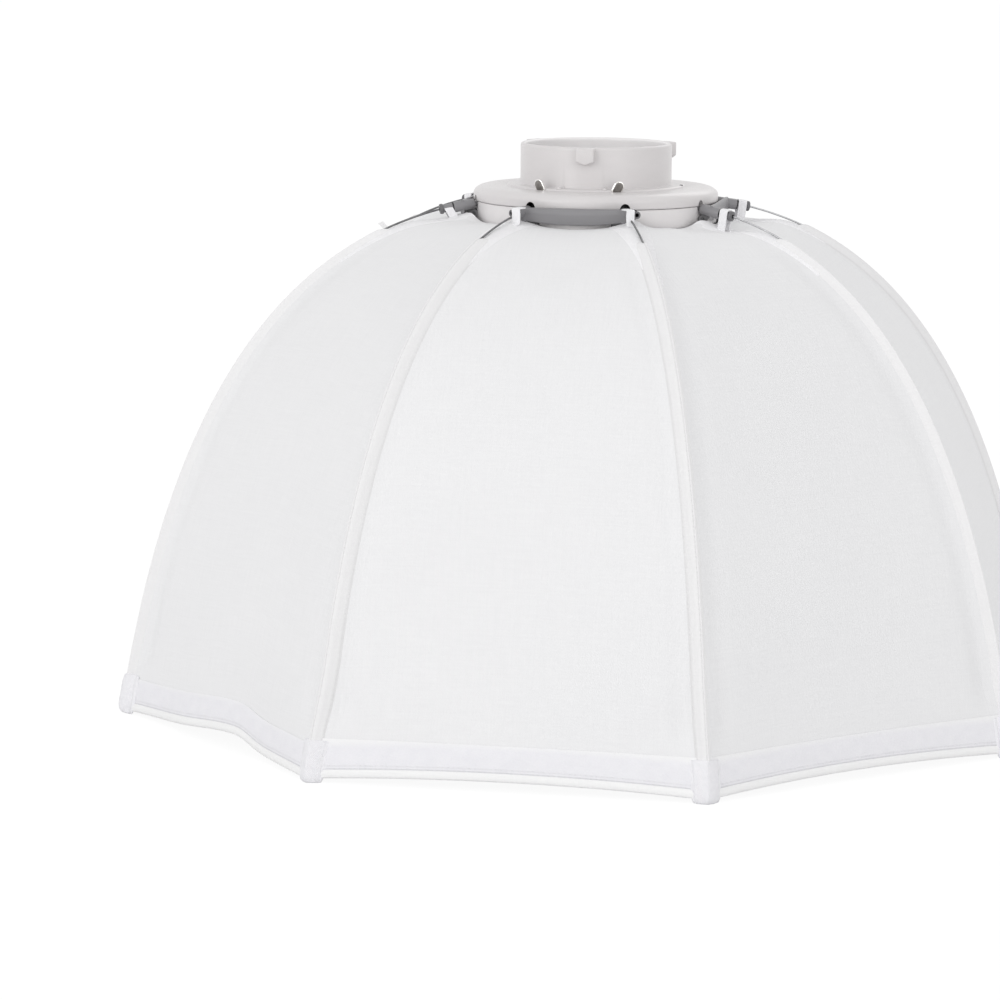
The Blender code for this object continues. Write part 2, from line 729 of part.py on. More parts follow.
def tape_loop_mesh():
    """A tape loop round the socket's waist, with a tail down to the canopy."""
    inner_radius = WAIST_RADIUS + GAP
    outer_radius = inner_radius + LOOP_THICKNESS
    opening = math.radians(300)
    first = -math.pi / 2 + (2 * math.pi - opening) / 2
    outline = arc_points((0, 0), outer_radius, first, first + opening, 12)
    outline += [(-LOOP_TAIL_HALF_WIDTH, -LOOP_TAIL), (LOOP_TAIL_HALF_WIDTH, -LOOP_TAIL)]
    hole = arc_points((0, 0), inner_radius, first, first + opening, 12)
    hole += arc_points((0, 0), inner_radius, first - math.radians(40), first - math.radians(20), 2)
    frame = socket_frame()
    depth = [socket_depth(r) for r in LOOP_SPAN]
    rings = [[frame @ Vector((x, a, b)) for a, b in outline] for x in depth]
    rings += [[frame @ Vector((x, a, b)) for a, b in hole] for x in reversed(depth)]
    return new_mesh("tape_loop", skin(rings, closed=True))


def cloth_offset(r):
    """How far the cloth's outer face lies under the rib: more where the rib is bare."""
    if r >= POCKET_TOP:
        return CLOTH_BELOW_RIB
    share = (POCKET_TOP - r) / (POCKET_TOP - CLOTH_TOP)
    return CLOTH_BELOW_RIB + (CLOTH_TOP_DROP - CLOTH_BELOW_RIB) * share**1.5


def panel_mesh():
    """One of the eight panels, centred on X: straight between its ribs but for a slight sag, with an
    arched lower edge."""
    top = length_at_radius(CLOTH_TOP)
    rings = []
    for s in (top, *STATIONS):
        outer, inner = [], []
        for share in (-1.0, -0.5, 0.0, 0.5, 1.0):
            rise = HEM_LIFT + HEM_ARCH * (1 - share**2)
            reach = top + (s - top) * (RIB_LENGTH - rise - top) / (RIB_LENGTH - top)
            sag = PANEL_SAG * (1 - share**2) * min((s - top) / PANEL_SAG_START, 1)
            for row, depth in ((outer, 0.0), (inner, CLOTH)):
                r = rib_frame(reach)[0][0]
                p = rib_place(reach, 0, -cloth_offset(r) - depth)
                half = p.x * math.sin(RIB_OFFSET) - PANEL_EDGE_GAP
                row.append(Vector((p.x * math.cos(RIB_OFFSET) - sag, share * half, p.z)))
        rings.append([*outer, *reversed(inner)])
    return new_mesh("panel", skin(rings, strip_caps=True))


def hinge_empty(handle, heading):
    empty = bpy.data.objects.new(f"fold_axis_{handle}", None)
    bpy.context.collection.objects.link(empty)
    place = turned(heading) @ Vector((HINGE_DISTANCE, 0, HINGE_DROP))
    empty.location = place + Vector((0, 0, SEAM_HEIGHT))
    empty.rotation_euler = (0, 0, heading)
    return empty


def place(obj, heading=0.0, carrier=None):
    """Set a piece made about the ring's axis at its heading, on its carrier if it has one."""
    obj.location = (0, 0, SEAM_HEIGHT)
    obj.rotation_euler = (0, 0, heading)
    if carrier:
        obj.parent = carrier
        obj.matrix_parent_inverse = carrier.matrix_basis.inverted()


def build_ring():
    for obj in (mount_insert(), flange(), lower_ring(), retaining_clip(), *ring_screws()):
        place(obj)


def build_folds():
    handle = handle_mesh()
    panel = panel_mesh()
    rib_pieces = {
        "rib": (rib_mesh(), "spring_steel"),
        "rib_pocket": (rib_pocket_mesh(), "white_tape"),
        "corner_cap": (corner_cap_mesh(), "white_tape"),
        "tape_loop": (tape_loop_mesh(), "white_tape"),
    }
    axes = {}
    for name, degrees in HANDLE_HEADINGS.items():
        heading = math.radians(degrees)
        axes[name] = hinge_empty(name, heading)
        place(new_object(f"handle_{name}", handle, "handle_grey"), heading, axes[name])
        place(new_object(f"panel_{name}", panel, "white_cloth"), heading, axes[name])
        for side, label in ((-1, "a"), (1, "b")):
            pin = new_mesh(f"hinge_pin_{name}_{label}", pin_shape(side, PIN_RADIUS))
            place(new_object(f"hinge_pin_{name}_{label}", pin, "spring_steel"), heading)
        gusset_heading = heading + math.radians(45)
        place(new_object(f"gusset_{name}", panel, "white_cloth"), gusset_heading)
    for number, name, heading, _ in rib_headings():
        for piece, (mesh, finish) in rib_pieces.items():
            place(new_object(f"{piece}_{number}", mesh, finish), heading, axes[name])


def main():
    clear_scene()
    build_ring()
    build_folds()


main()
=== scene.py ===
"""Studio softbox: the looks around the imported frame.

Lengths are metres. Ring heights are measured from the seam between the two ring halves, and every
piece is lifted by SEAM at the end. The rib's path repeats the part's own, so the cloth lies on it.
"""

from functools import partialmethod
from math import cos, hypot, pi, radians, sin, tan

import bmesh
import bpy
import numpy as np
from mathutils import Matrix, Vector


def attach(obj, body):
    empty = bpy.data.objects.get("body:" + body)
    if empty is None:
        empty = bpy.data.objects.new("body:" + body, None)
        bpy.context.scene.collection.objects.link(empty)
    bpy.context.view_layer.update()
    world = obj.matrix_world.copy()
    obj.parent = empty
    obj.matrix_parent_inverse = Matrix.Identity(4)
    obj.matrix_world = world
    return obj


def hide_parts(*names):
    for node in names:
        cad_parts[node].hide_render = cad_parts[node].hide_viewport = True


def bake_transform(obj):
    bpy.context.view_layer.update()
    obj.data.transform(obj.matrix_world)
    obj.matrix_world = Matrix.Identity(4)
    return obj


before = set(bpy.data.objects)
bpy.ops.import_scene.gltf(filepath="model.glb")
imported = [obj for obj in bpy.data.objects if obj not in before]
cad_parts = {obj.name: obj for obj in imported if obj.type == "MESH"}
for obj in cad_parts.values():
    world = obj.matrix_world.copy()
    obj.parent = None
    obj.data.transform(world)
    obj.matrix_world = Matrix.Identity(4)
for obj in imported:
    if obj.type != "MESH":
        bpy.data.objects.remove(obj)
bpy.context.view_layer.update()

MM = 0.001
SEAM = 329.0 * MM
OCTANT = radians(45.0)
HALF = radians(22.5)
WINGS = {"front": -90, "right": 0, "rear": 90, "left": 180}

# The path of a rib in its radial plane. Its curve has two handles, each with a length and an angle, from
# level at the socket and from upright at the floor
SOCKET_ANCHOR = (80.3 * MM, -1.8 * MM)
SOCKET_SLOPE = radians(8.4)
SOCKET_MOUTH = 103.0 * MM
RIB_START = 87.5 * MM
RIB_LEAVE = (85.0 * MM, 0.25)
RIB_ARRIVE = (236.0 * MM, 0.15)
CORNER_RADIUS = 309.5 * MM
RIB_RADIUS = 0.65 * MM

# Notches in the ring over the sockets. The two in front are wider and turned a little
NOTCH_HALF_WIDTH = 2.85 * MM
NOTCH_HALF_HEIGHT = 3.65 * MM
NOTCH_HEIGHT = 0.4 * MM
NOTCH_FLOOR, NOTCH_OUTSIDE = 73.5 * MM, 84.0 * MM
FRONT_NOTCHES = (-3, -2)
FRONT_HALF_WIDTH = 3.3 * MM
FRONT_NOTCH_TURN = radians(0.75)

# Speedring, with its angles in degrees
NECK_TURN = 1.7
STOP_ANGLE = 15.4
CLIP_TURN = -2.2
TAB_ANGLE = 24.3
BORE_LIMIT = 46.6 * MM
SCREW_CIRCLE, BOSS_CIRCLE = 63.0 * MM, 65.5 * MM
SCREW_HEADINGS = (45, 135, 225, 315)
HINGE = (74.4 * MM, -8.2 * MM)
RING_STEPS = 192

# Cloth
CLOTH = 0.6 * MM
CLOTH_BELOW_RIB = 1.6 * MM
CLOTH_TOP = 86.0 * MM
CLOTH_TOP_DROP = 5.2 * MM
SLEEVE_TOP = 138.0 * MM
SLEEVE_DELAY = 6.0 * MM
HEM_LIFT = 2.6 * MM
HEM_ARCH = 4.0 * MM
WAVY_PANEL = 5
PANEL_COLUMNS = 49

# In millimetres: the even sag of a panel, and how far the cloth hangs below each rib between its loop and
# its sleeve, from the right wing's first rib on
PANEL_SAG = 2.0
RIDGE_DIPS = (8.0, 8.0, 3.0, 3.0, 3.2, 3.2, 0.0, 0.0)

# Heading of a corner and how far it stands from its even place, round the ring
FOOT_SHIFTS = ((-112.5, -5.5 * MM), (-67.5, 1.5 * MM))


# Mesh helpers


def distances(path):
    """How far along a path each of its points lies."""
    return np.concatenate([[0], np.cumsum(np.linalg.norm(np.diff(path, axis=0), axis=1))])


def rib_curve():
    """Arc length, radius and height along the rib, from inside the socket to floor level."""
    mouth = np.array([SOCKET_MOUTH, socket_height(SOCKET_MOUTH)])
    corner = np.array([CORNER_RADIUS, -SEAM])
    leave = mouth + RIB_LEAVE[0] * np.array([cos(RIB_LEAVE[1]), -sin(RIB_LEAVE[1])])
    arrive = corner + RIB_ARRIVE[0] * np.array([-sin(RIB_ARRIVE[1]), cos(RIB_ARRIVE[1])])
    t = np.linspace(0, 1, 600)[:, None]
    curve = (1 - t) ** 3 * mouth + 3 * (1 - t) ** 2 * t * leave + 3 * (1 - t) * t**2 * arrive + t**3 * corner
    path = np.vstack([[RIB_START, socket_height(RIB_START)], curve])
    along = distances(path)
    return along - along[1], path[:, 0], path[:, 1]


def socket_height(r):
    return SOCKET_ANCHOR[1] - (r - SOCKET_ANCHOR[0]) * tan(SOCKET_SLOPE)


ALONG, PATH_R, PATH_Z = rib_curve()
NORMAL_R = -np.gradient(PATH_Z, ALONG)
NORMAL_Z = np.gradient(PATH_R, ALONG)
LENGTH = float(ALONG[-1])


def length_at(radius):
    return float(np.interp(radius, PATH_R, ALONG))


def radius_at(s):
    return np.interp(s, ALONG, PATH_R)


TOP = length_at(CLOTH_TOP)


def on_rib(s):
    """Radius, height and outward normal of the path at arc lengths s."""
    return [np.interp(s, ALONG, row) for row in (PATH_R, PATH_Z, NORMAL_R, NORMAL_Z)]


def beside_rib(s, across, out):
    """Points in the rib's own frame. They follow the two panels, which fall away from the ridge."""
    r, z, nr, nz = on_rib(s)
    out = out - np.abs(across) * tan(HALF) * np.maximum(nr, 0)
    return np.stack(np.broadcast_arrays(r + out * nr, across, z + out * nz), -1)


def cloth_offset(r):
    share = np.clip((SLEEVE_TOP - r) / (SLEEVE_TOP - CLOTH_TOP), 0, 1)
    return CLOTH_BELOW_RIB + (CLOTH_TOP_DROP - CLOTH_BELOW_RIB) * share**1.5


def bump_at(x, centre, width):
    return np.exp(-(((x - centre) / width) ** 2))


def ease(x, low, high):
    t = np.clip((x - low) / (high - low), 0, 1)
    return t * t * (3 - 2 * t)


def hem_rise(panel, share):
    """How far the lower edge of a panel hangs above the rib's foot."""
    if panel == WAVY_PANEL:
        peak = bump_at(share, 0.17, np.where(share < 0.17, 0.44, 0.2))
        return (2.0 + 3.0 * (1 - share**2) + 6.2 * peak) * MM
    return HEM_LIFT + HEM_ARCH * (1 - share**2)


def slack(panel, share, s, beside):
    """How far the cloth hangs inside the straight line between its ribs. The terms are in millimetres: the
    lift is beside the loops, the valley and puckers beside a sleeve and the hollow above a lower corner."""
    free, gusset, phase = 1 - share**2, panel % 2, 1.7 * panel
    s, beside, down, foot = s / MM, beside / MM, (s - TOP) / MM, (LENGTH - s) / MM
    sag = PANEL_SAG * free * ease(down, 0, 80)
    under_ring = (4.4 if gusset else 5.0) * free * np.exp(-down / 26)
    lift = 2.8 * gusset * bump_at(beside, 9, 6.5) * np.exp(-down / 9)
    valley = (1.2 if gusset else 1.9) * bump_at(beside, 11, 7) * ease(down, 30, 90) * ease(foot, 22, 52)
    rib_dip = np.where(share < 0, RIDGE_DIPS[panel], RIDGE_DIPS[(panel + 1) % 8])
    rib_dip = rib_dip * bump_at(s, length_at(104 * MM) / MM, 15) * np.exp(-beside / 22)
    waves = np.sin(s / 71 + phase) * np.sin(2.3 * share + phase)
    waves = waves + 0.6 * np.sin(s / 37 + 3.1 * share + 2 * phase)
    waves = 0.34 * free * waves * ease(down, 0, 40)
    puckers = np.sin(s / 2.3 + 2 * phase + 1.9 * np.sign(share)) + 0.7 * np.sin(s / 3.7 + phase)
    puckers = 0.16 * puckers * ease(beside, 4.5, 9) * np.exp(-beside / 11)
    hollow = 5.0 * bump_at(beside, 12, 6) * ease(foot, 24, 46) * np.exp(-foot / 70)
    hang = sag + under_ring - lift + valley + rib_dip + waves + puckers + hollow
    if panel == WAVY_PANEL:
        hang = hang + 3.2 * np.sin(4.2 * (share - 0.12)) * free * np.exp(-foot / 55)
    return hang * MM


def on_panel(panel, share, s, out=0.0):
    """Points on the outer face of a panel, turned to its heading. share runs from -1 to 1 between its
    two ribs, s down the ribs, and out stands proud of the cloth."""
    rise = hem_rise(panel, share)
    reach = TOP + (s - TOP) * (LENGTH - rise - TOP) / (LENGTH - TOP)
    r, z, nr, nz = on_rib(reach)
    beside = (1 - np.abs(share)) * r * sin(HALF)
    drop = cloth_offset(r) - out + slack(panel, share, s, beside)
    distance = (r - drop * nr) * cos(HALF)
    sideways = share * (r - drop * nr) * sin(HALF)
    c, d = cos(panel * OCTANT), sin(panel * OCTANT)
    x, y = distance * c - sideways * d, distance * d + sideways * c
    return np.stack(np.broadcast_arrays(x, y, z - drop * nz), -1)


def panel_of(wing):
    return WINGS[wing] // 45 % 8


def over_wing(wing, rows, out):
    """A grid of points over one wing: half a gusset, the whole panel and half a gusset. Its columns stand
    closer together towards the ribs. rows gives s down each column, either the same for all of them or as
    a function of the panel and the share."""
    spread = np.linspace(-1, 1, PANEL_COLUMNS)
    shares = 0.55 * spread + 0.45 * np.sin(spread * pi / 2)
    panel, middle = panel_of(wing), PANEL_COLUMNS // 2
    stretches = ((panel - 1, shares[middle:]), (panel, shares[1:-1]), (panel + 1, shares[: middle + 1]))
    columns, flat = [], []
    for panel, share in [(panel % 8, share) for panel, shares in stretches for share in shares]:
        s = rows(panel, share) if callable(rows) else rows
        columns.append(on_panel(panel, np.full(len(s), share), s, out))
        flat.append(np.stack([share * radius_at(s) * sin(HALF) + 0.37 * panel, s], -1))
    return np.array(columns), np.array(flat)


def quad_strip(a, b, closed):
    """Quads between two rows of vertex numbers."""
    pairs = range(len(a) if closed else len(a) - 1)
    return [(a[i], a[(i + 1) % len(a)], b[(i + 1) % len(a)], b[i]) for i in pairs]


def sheet_shell(outer, inner, flat):
    """A thin closed sheet from two grids of points, with the flat place of each point as its UV."""
    rows, columns = outer.shape[:2]
    size = rows * columns
    number = np.arange(size).reshape(rows, columns)
    faces = []
    for k in range(rows - 1):
        faces += quad_strip(number[k], number[k + 1], False)
        faces += quad_strip(number[k + 1] + size, number[k] + size, False)
    rim = np.concatenate([number[0], number[1:, -1], number[-1, -2::-1], number[-2:0:-1, 0]])
    faces += quad_strip(rim + size, rim, True)
    points = np.concatenate([outer.reshape(-1, 3), inner.reshape(-1, 3)])
    return points, faces, np.concatenate([flat.reshape(-1, 2)] * 2)


def loft(rings, closed=False, flat=None):
    """A solid skin over rings of equal count, capped at its ends unless it closes on itself."""
    rings = np.asarray(rings, float)
    total, count = rings.shape[:2]
    number = np.arange(total * count).reshape(total, count)
    faces = []
    for k in range(total if closed else total - 1):
        faces += quad_strip(number[k], number[(k + 1) % total], True)
    if not closed:
        faces += [tuple(number[0]), tuple(number[-1])]
    return rings.reshape(-1, 3), faces, None if flat is None else np.asarray(flat).reshape(-1, 2)


def joined(*shells):
    points, faces, base = [], [], 0
    for shell in shells:
        points.append(shell[0])
        faces += [tuple(i + base for i in face) for face in shell[1]]
        base += len(shell[0])
    return np.concatenate(points), faces, None


def carried(points, matrix):
    m = np.array(matrix)
    return points @ m[:3, :3].T + m[:3, 3]


def moved(shell, matrix):
    return carried(shell[0], matrix), shell[1], shell[2]


def turned(angle):
    return Matrix.Rotation(angle, 4, "Z")


def from_front(degrees):
    return turned(radians(degrees - 90))


def upright(radius, degrees):
    """The frame of a turned form that stands on the ring, with its X axis up."""
    stand = Matrix.Translation((radius, 0, 0)) @ Matrix.Rotation(-pi / 2, 4, "Y")
    return turned(radians(degrees)) @ stand


def in_mm(points):
    return np.array(points) * MM


def points_of(mesh):
    return np.array([vertex.co for vertex in mesh.vertices])


def mesh_of(shell):
    mesh = bpy.data.meshes.new("shape")
    mesh.from_pydata(shell[0].tolist(), [], [tuple(int(i) for i in f) for f in shell[1]])
    if shell[2] is not None:
        layer = mesh.uv_layers.new(name="flat")
        corner = np.zeros(len(mesh.loops), int)
        mesh.loops.foreach_get("vertex_index", corner)
        layer.data.foreach_set("uv", shell[2][corner].astype(np.float32).ravel())
    tidy = bmesh.new()
    tidy.from_mesh(mesh)
    bmesh.ops.recalc_face_normals(tidy, faces=tidy.faces)
    tidy.to_mesh(mesh)
    tidy.free()
    return mesh


def linked(name, data):
    obj = bpy.data.objects.new(name, data)
    bpy.context.collection.objects.link(obj)
    return obj


def combine(mesh, shell, operation):
    """The mesh after a Boolean with a shell."""
    body, tool = linked("body", mesh), linked("tool", mesh_of(shell))
    step = body.modifiers.new("step", "BOOLEAN")
    step.operation, step.solver, step.object = operation, "EXACT", tool
    result = bpy.data.meshes.new_from_object(body.evaluated_get(bpy.context.evaluated_depsgraph_get()))
    for obj in (body, tool):
        bpy.data.objects.remove(obj, do_unlink=True)
    return result


def piece(name, shape, finish, heading=0.0, sharp=35, faces=None):
    """A new object from a shell or a mesh, turned to its heading and lifted to the ring's height. faces
    says which of several finishes each face has."""
    mesh = shape.copy() if isinstance(shape, bpy.types.Mesh) else mesh_of(shape)
    mesh.transform(Matrix.Translation((0, 0, SEAM)) @ turned(heading))
    mesh.shade_smooth()
    mesh.set_sharp_from_angle(angle=radians(sharp))
    mesh.materials.clear()
    for one in finish if isinstance(finish, list) else [finish]:
        mesh.materials.append(one)
    if faces is not None:
        mesh.polygons.foreach_set("material_index", np.asarray(faces, np.int32))
    mesh.name = name
    return linked(name, mesh)


def rounded(outline, radius, steps=3):
    """A closed outline of 2D points with its corners eased."""
    here = np.array(outline, float)[:, None]
    ends = []
    for side in (1, -1):
        edge = np.roll(here, side, 0) - here
        length = np.linalg.norm(edge, axis=-1, keepdims=True)
        ends.append(here + edge / length * np.minimum(radius, 0.45 * length))
    t = np.linspace(0, 1, steps)[:, None]
    return ((1 - t) ** 2 * ends[0] + 2 * t * (1 - t) * here + t**2 * ends[1]).reshape(-1, 2)


def circle(count):
    return np.arange(count) * 2 * pi / count


def ring_mesh(outline, easing, steps=3):
    """A ring about the axis from a (radius, height) outline in millimetres, with its edges eased."""
    r, z = rounded(in_mm(outline), easing, steps).T
    rings = [np.stack([r * cos(a), r * sin(a), z], -1) for a in circle(RING_STEPS)]
    return mesh_of(loft(rings, closed=True))


def lathe(stations, matrix, sides=36):
    """A solid turned about the matrix's X axis from (distance, radius) stations."""
    a = circle(sides)
    rings = [np.stack([np.full(sides, x), r * np.cos(a), r * np.sin(a)], -1) for x, r in stations]
    return moved(loft(rings), matrix)


def arc(centre, radius, first, last, count):
    a = np.linspace(first, last, count)
    return list(zip(centre[0] + radius * np.cos(a), centre[1] + radius * np.sin(a)))


# Materials

STITCH_PITCH = 3.1 * MM
STITCH_GAP = 0.24


def new_node(tree, kind, inputs, **settings):
    """A node with those settings and inputs, which are values or the outputs of other nodes."""
    made = tree.nodes.new("ShaderNode" + kind)
    for key, value in settings.items():
        setattr(made, key, value)
    for key, value in inputs.items():
        if isinstance(value, bpy.types.NodeSocket):
            tree.links.new(value, made.inputs[key])
        else:
            made.inputs[key].default_value = value
    return made


class Finish:
    """A material and short ways to add nodes to it."""

    def __init__(self, name, colour, roughness, metallic=0.0, **sockets):
        self.material = bpy.data.materials.new(name)
        self.material.use_nodes = True
        self.material.diffuse_color = (*colour, 1)
        self.tree = self.material.node_tree
        self.shader = self.tree.nodes["Principled BSDF"]
        sockets |= {"Base_Color": (*colour, 1), "Roughness": roughness, "Metallic": metallic}
        for socket, value in sockets.items():
            self.shader.inputs[socket.replace("_", " ")].default_value = value

    def node(self, kind, inputs, **settings):
        return new_node(self.tree, kind, inputs, **settings)

    def feed(self, socket, output):
        self.tree.links.new(output, self.shader.inputs[socket])

    def math(self, operation, *values):
        return self.node("Math", dict(enumerate(values)), operation=operation).outputs[0]

    add = partialmethod(math, "ADD")
    less = partialmethod(math, "SUBTRACT")
    times = partialmethod(math, "MULTIPLY")
    share = partialmethod(math, "DIVIDE")

    def place(self, kind="UV"):
        """The coordinates of a point, in metres."""
        return list(self.node("SeparateXYZ", {0: self.node("TexCoord", {}).outputs[kind]}).outputs)

    def noise(self, x, y, z, scale, detail=2.0, roughness=0.5):
        inputs = {"Vector": self.node("CombineXYZ", {"X": x, "Y": y, "Z": z}).outputs[0]}
        inputs |= {"Scale": scale, "Detail": detail, "Roughness": roughness}
        return self.node("TexNoise", inputs).outputs["Fac"]

    def ramp(self, value, dark, light, half=0.2):
        """A colour from dark to light as the value passes through its middle."""
        made = self.node("ValToRGB", {0: value})
        for element, place, colour in zip(made.color_ramp.elements, (0.5 - half, 0.5 + half), (dark, light)):
            element.position, element.color = place, (*colour, 1)
        return made.outputs["Color"]

    def shade(self, colour, factor):
        """The colour times a factor."""
        return self.node("VectorMath", {0: colour, "Scale": factor}, operation="SCALE").outputs[0]

    def mix(self, share, first, second):
        """From the first colour at a share of 0 or less to the second at 1 or more."""
        share = self.math("MINIMUM", self.math("MAXIMUM", share, 0.0), 1.0)
        return self.node("Mix", {"Factor": share, 6: (*first, 1), 7: second}, data_type="RGBA").outputs[2]

    def wave(self, value, period):
        return self.math("SINE", self.times(value, 2 * pi / period))

    def line(self, value, centre, width):
        """1 on a line of that half-width, falling to 0 beside it."""
        away = self.math("ABSOLUTE", self.less(value, centre))
        return self.math("MAXIMUM", self.less(1.0, self.share(away, width)), 0.0)

    def sew(self, colour, height, across, along, centre, gutter, dark, depth, thread=0.55 * MM):
        """The colour and height with a row of machine stitches on the line across = centre. They lie in a
        gutter of that half-width and depth, whose colour is darkened by that share as painted shade."""
        groove_and_shade = self.line(across, centre, gutter)
        step = self.math("FRACT", self.share(along, STITCH_PITCH))
        stitch = self.times(self.line(across, centre, thread), self.math("GREATER_THAN", step, STITCH_GAP))
        # Painted shade: the gutter's colour is darkened by the share dark
        colour = self.shade(colour, self.less(1.0, self.times(groove_and_shade, dark)))
        return colour, self.add(height, self.less(stitch, self.times(groove_and_shade, depth)))

    def done(self, colour, height, distance, strength=1.0):
        """The material with that colour and those bumps."""
        bump = self.node("Bump", {"Strength": strength, "Distance": distance, "Height": height})
        self.feed("Base Color", colour)
        self.feed("Normal", bump.outputs[0])
        return self.material


def cloth_finish(name, light, dark, weave, rows=()):
    """Plain-woven cloth with uneven threads both ways, slow mottling and optional stitched rows, whose
    gutters have painted shade.
    """
    made = Finish(name, light, 0.82, Sheen_Weight=0.12, Sheen_Roughness=0.6, Specular_IOR_Level=0.25)
    u, v, _ = made.place()
    warp = made.noise(made.times(u, 24.0), v, 0.0, 34.0)
    weft = made.noise(u, made.times(v, 24.0), 7.0, 34.0)
    threads = made.add(warp, weft)
    mottle = made.noise(u, v, 3.0, 13.0, 3.0)
    tone = made.add(made.times(threads, 0.38), made.times(mottle, 0.24))
    colour = made.ramp(tone, dark, light)
    grid = made.times(made.wave(u, weave), made.wave(v, weave))
    height = made.add(made.times(grid, 0.35), made.times(threads, 1.1))
    for centre, gutter in rows:
        colour, height = made.sew(colour, height, u, v, centre, gutter, 0.1, 1.6)
    return made.done(colour, height, 0.1 * MM)


def pile_finish(name, light, dark, edge):
    """The fuzzy loop side of a hook-and-loop band, sewn on along its lower edge and lighter along its upper
    one. V is the distance down the rib."""
    made = Finish(name, light, 0.92, Sheen_Weight=0.25, Sheen_Roughness=0.5)
    u, v, _ = made.place()
    fuzz = made.noise(u, v, 0.0, 900.0, 3.0, 0.65)
    clump = made.noise(u, v, 5.0, 130.0)
    colour = made.ramp(made.add(made.times(fuzz, 0.5), made.times(clump, 0.5)), dark, light)
    height = made.add(fuzz, clump)
    # The dark lines along these stitched rows are painted shadow
    for foot, shadow in ((5.6 * MM, 0.2), (7.4 * MM, 0.05)):
        colour, height = made.sew(colour, height, v, u, LENGTH - foot, 0.6 * MM, shadow, 1.2, 0.4 * MM)
    # A ragged strip along the band's upper edge takes the lighter edge colour
    below_upper_edge = made.less(made.add(v, made.times(clump, 4 * MM)), LENGTH - 21 * MM)
    return made.done(made.mix(made.share(below_upper_edge, 4 * MM), edge, colour), height, 0.22 * MM)


def tape_finish(name, light, dark, sheen, rows=()):
    """Woven tape with a fine twill and optional rows of stitches along both sides, whose gutters have
    painted shade.
    """
    made = Finish(name, light, 0.85, Sheen_Weight=sheen, Sheen_Roughness=0.5, Specular_IOR_Level=0.25)
    u, v, _ = made.place()
    twill = made.wave(made.add(u, made.times(v, 0.5)), 0.9 * MM)
    speck = made.noise(u, v, 1.0, 420.0)
    colour = made.ramp(speck, dark, light)
    height = made.add(made.times(twill, 0.5), speck)
    for centre in rows:
        colour, height = made.sew(colour, height, made.math("ABSOLUTE", u), v, centre, 0.7 * MM, 0.04, 1.6)
    return made.done(colour, height, 0.16 * MM)


def plastic_finish(name, light, dark, roughness, grain=1900.0):
    """Moulded plastic with a fine spark-eroded grain and slight flow marks."""
    made = Finish(name, light, roughness, Specular_IOR_Level=0.45)
    x, y, z = made.place("Object")
    fine = made.noise(x, y, z, grain)
    flow = made.noise(x, y, made.times(z, 3.0), 34.0, 3.0)
    rough = made.node("MapRange", {"Value": fine, "To Min": roughness - 0.07, "To Max": roughness + 0.07})
    made.feed("Roughness", rough.outputs[0])
    return made.done(made.ramp(flow, dark, light, 0.25), fine, 0.05 * MM, 0.6)


def metal_finish(name, light, dark, roughness, stretch=1.0):
    """Drawn or plated metal with fine marks. They run along Z where stretch is small."""
    made = Finish(name, light, roughness, 1.0)
    x, y, z = made.place("Object")
    marks = made.noise(x, y, made.times(z, stretch), 260.0, 3.0)
    return made.done(made.ramp(marks, dark, light), marks, 0.02 * MM, 0.5)


CANOPY = cloth_finish("canopy_cloth", (0.864, 0.863, 0.871), (0.825, 0.824, 0.834), 1.3 * MM)

# Distance across the sleeve of each stitched row, and half the width of its gutter, which has painted shade
SLEEVE_SEAMS = [(0.1 * MM, 0.6 * MM), (-5.7 * MM, 1.3 * MM)]
SLEEVE = cloth_finish("sleeve_cloth", (0.873, 0.868, 0.872), (0.842, 0.837, 0.843), 1.1 * MM, SLEEVE_SEAMS)

PIPING = cloth_finish("piping_cloth", (0.935, 0.933, 0.933), (0.895, 0.893, 0.895), 1.0 * MM)
PILE = pile_finish("hem_pile", (0.875, 0.87, 0.897), (0.82, 0.815, 0.85), (0.9, 0.898, 0.905))
TAPE = tape_finish("white_tape", (0.98, 0.975, 0.99), (0.955, 0.95, 0.97), 0.5)
# The stitched row on the cap has a gutter of painted shade
CAP_TAPE = tape_finish("cap_tape", (0.925, 0.92, 0.945), (0.885, 0.88, 0.91), 0.15, [7.7 * MM])
# Painted light: the bore is the ring's plastic painted lighter, for light on its inner wall
BORE_PAINTED_LIGHT = plastic_finish("bore_painted_light_plastic", (0.93, 0.91, 0.91), (0.9, 0.88, 0.882), 0.4, 1600.0)
# Painted light: the lower half is the ring's plastic painted lighter, where the flange and bars shade its
# wall
LOWER_PAINTED_LIGHT = plastic_finish("lower_painted_light_plastic", (0.8, 0.777, 0.777), (0.77, 0.747, 0.75), 0.36, 1600.0)
RING = plastic_finish("ring_plastic", (0.715, 0.692, 0.692), (0.685, 0.662, 0.664), 0.3, 1600.0)
GREY = plastic_finish("handle_plastic", (0.265, 0.26, 0.27), (0.235, 0.231, 0.24), 0.42)
COLLAR = plastic_finish("collar_plastic", (0.16, 0.157, 0.164), (0.13, 0.128, 0.134), 0.4)
# Painted shade: black put inside the front notches and in the sockets' bores and shoulders, where there is
# only shade
SHADE_BLACK = plastic_finish("recess_painted_shade", (0.012, 0.012, 0.013), (0.006, 0.006, 0.007), 0.5)
STEEL = metal_finish("spring_steel", (0.22, 0.22, 0.225), (0.13, 0.13, 0.135), 0.3, 0.2)
# Painted reflection: the same steel painted paler, for the white surround that the right wing's wires
# reflect
STEEL_PAINTED_REFLECTION = metal_finish("steel_painted_reflection", (0.5, 0.5, 0.51), (0.36, 0.36, 0.37), 0.3, 0.2)
CHROME = metal_finish("plated_spring", (0.86, 0.85, 0.83), (0.74, 0.72, 0.7), 0.14)
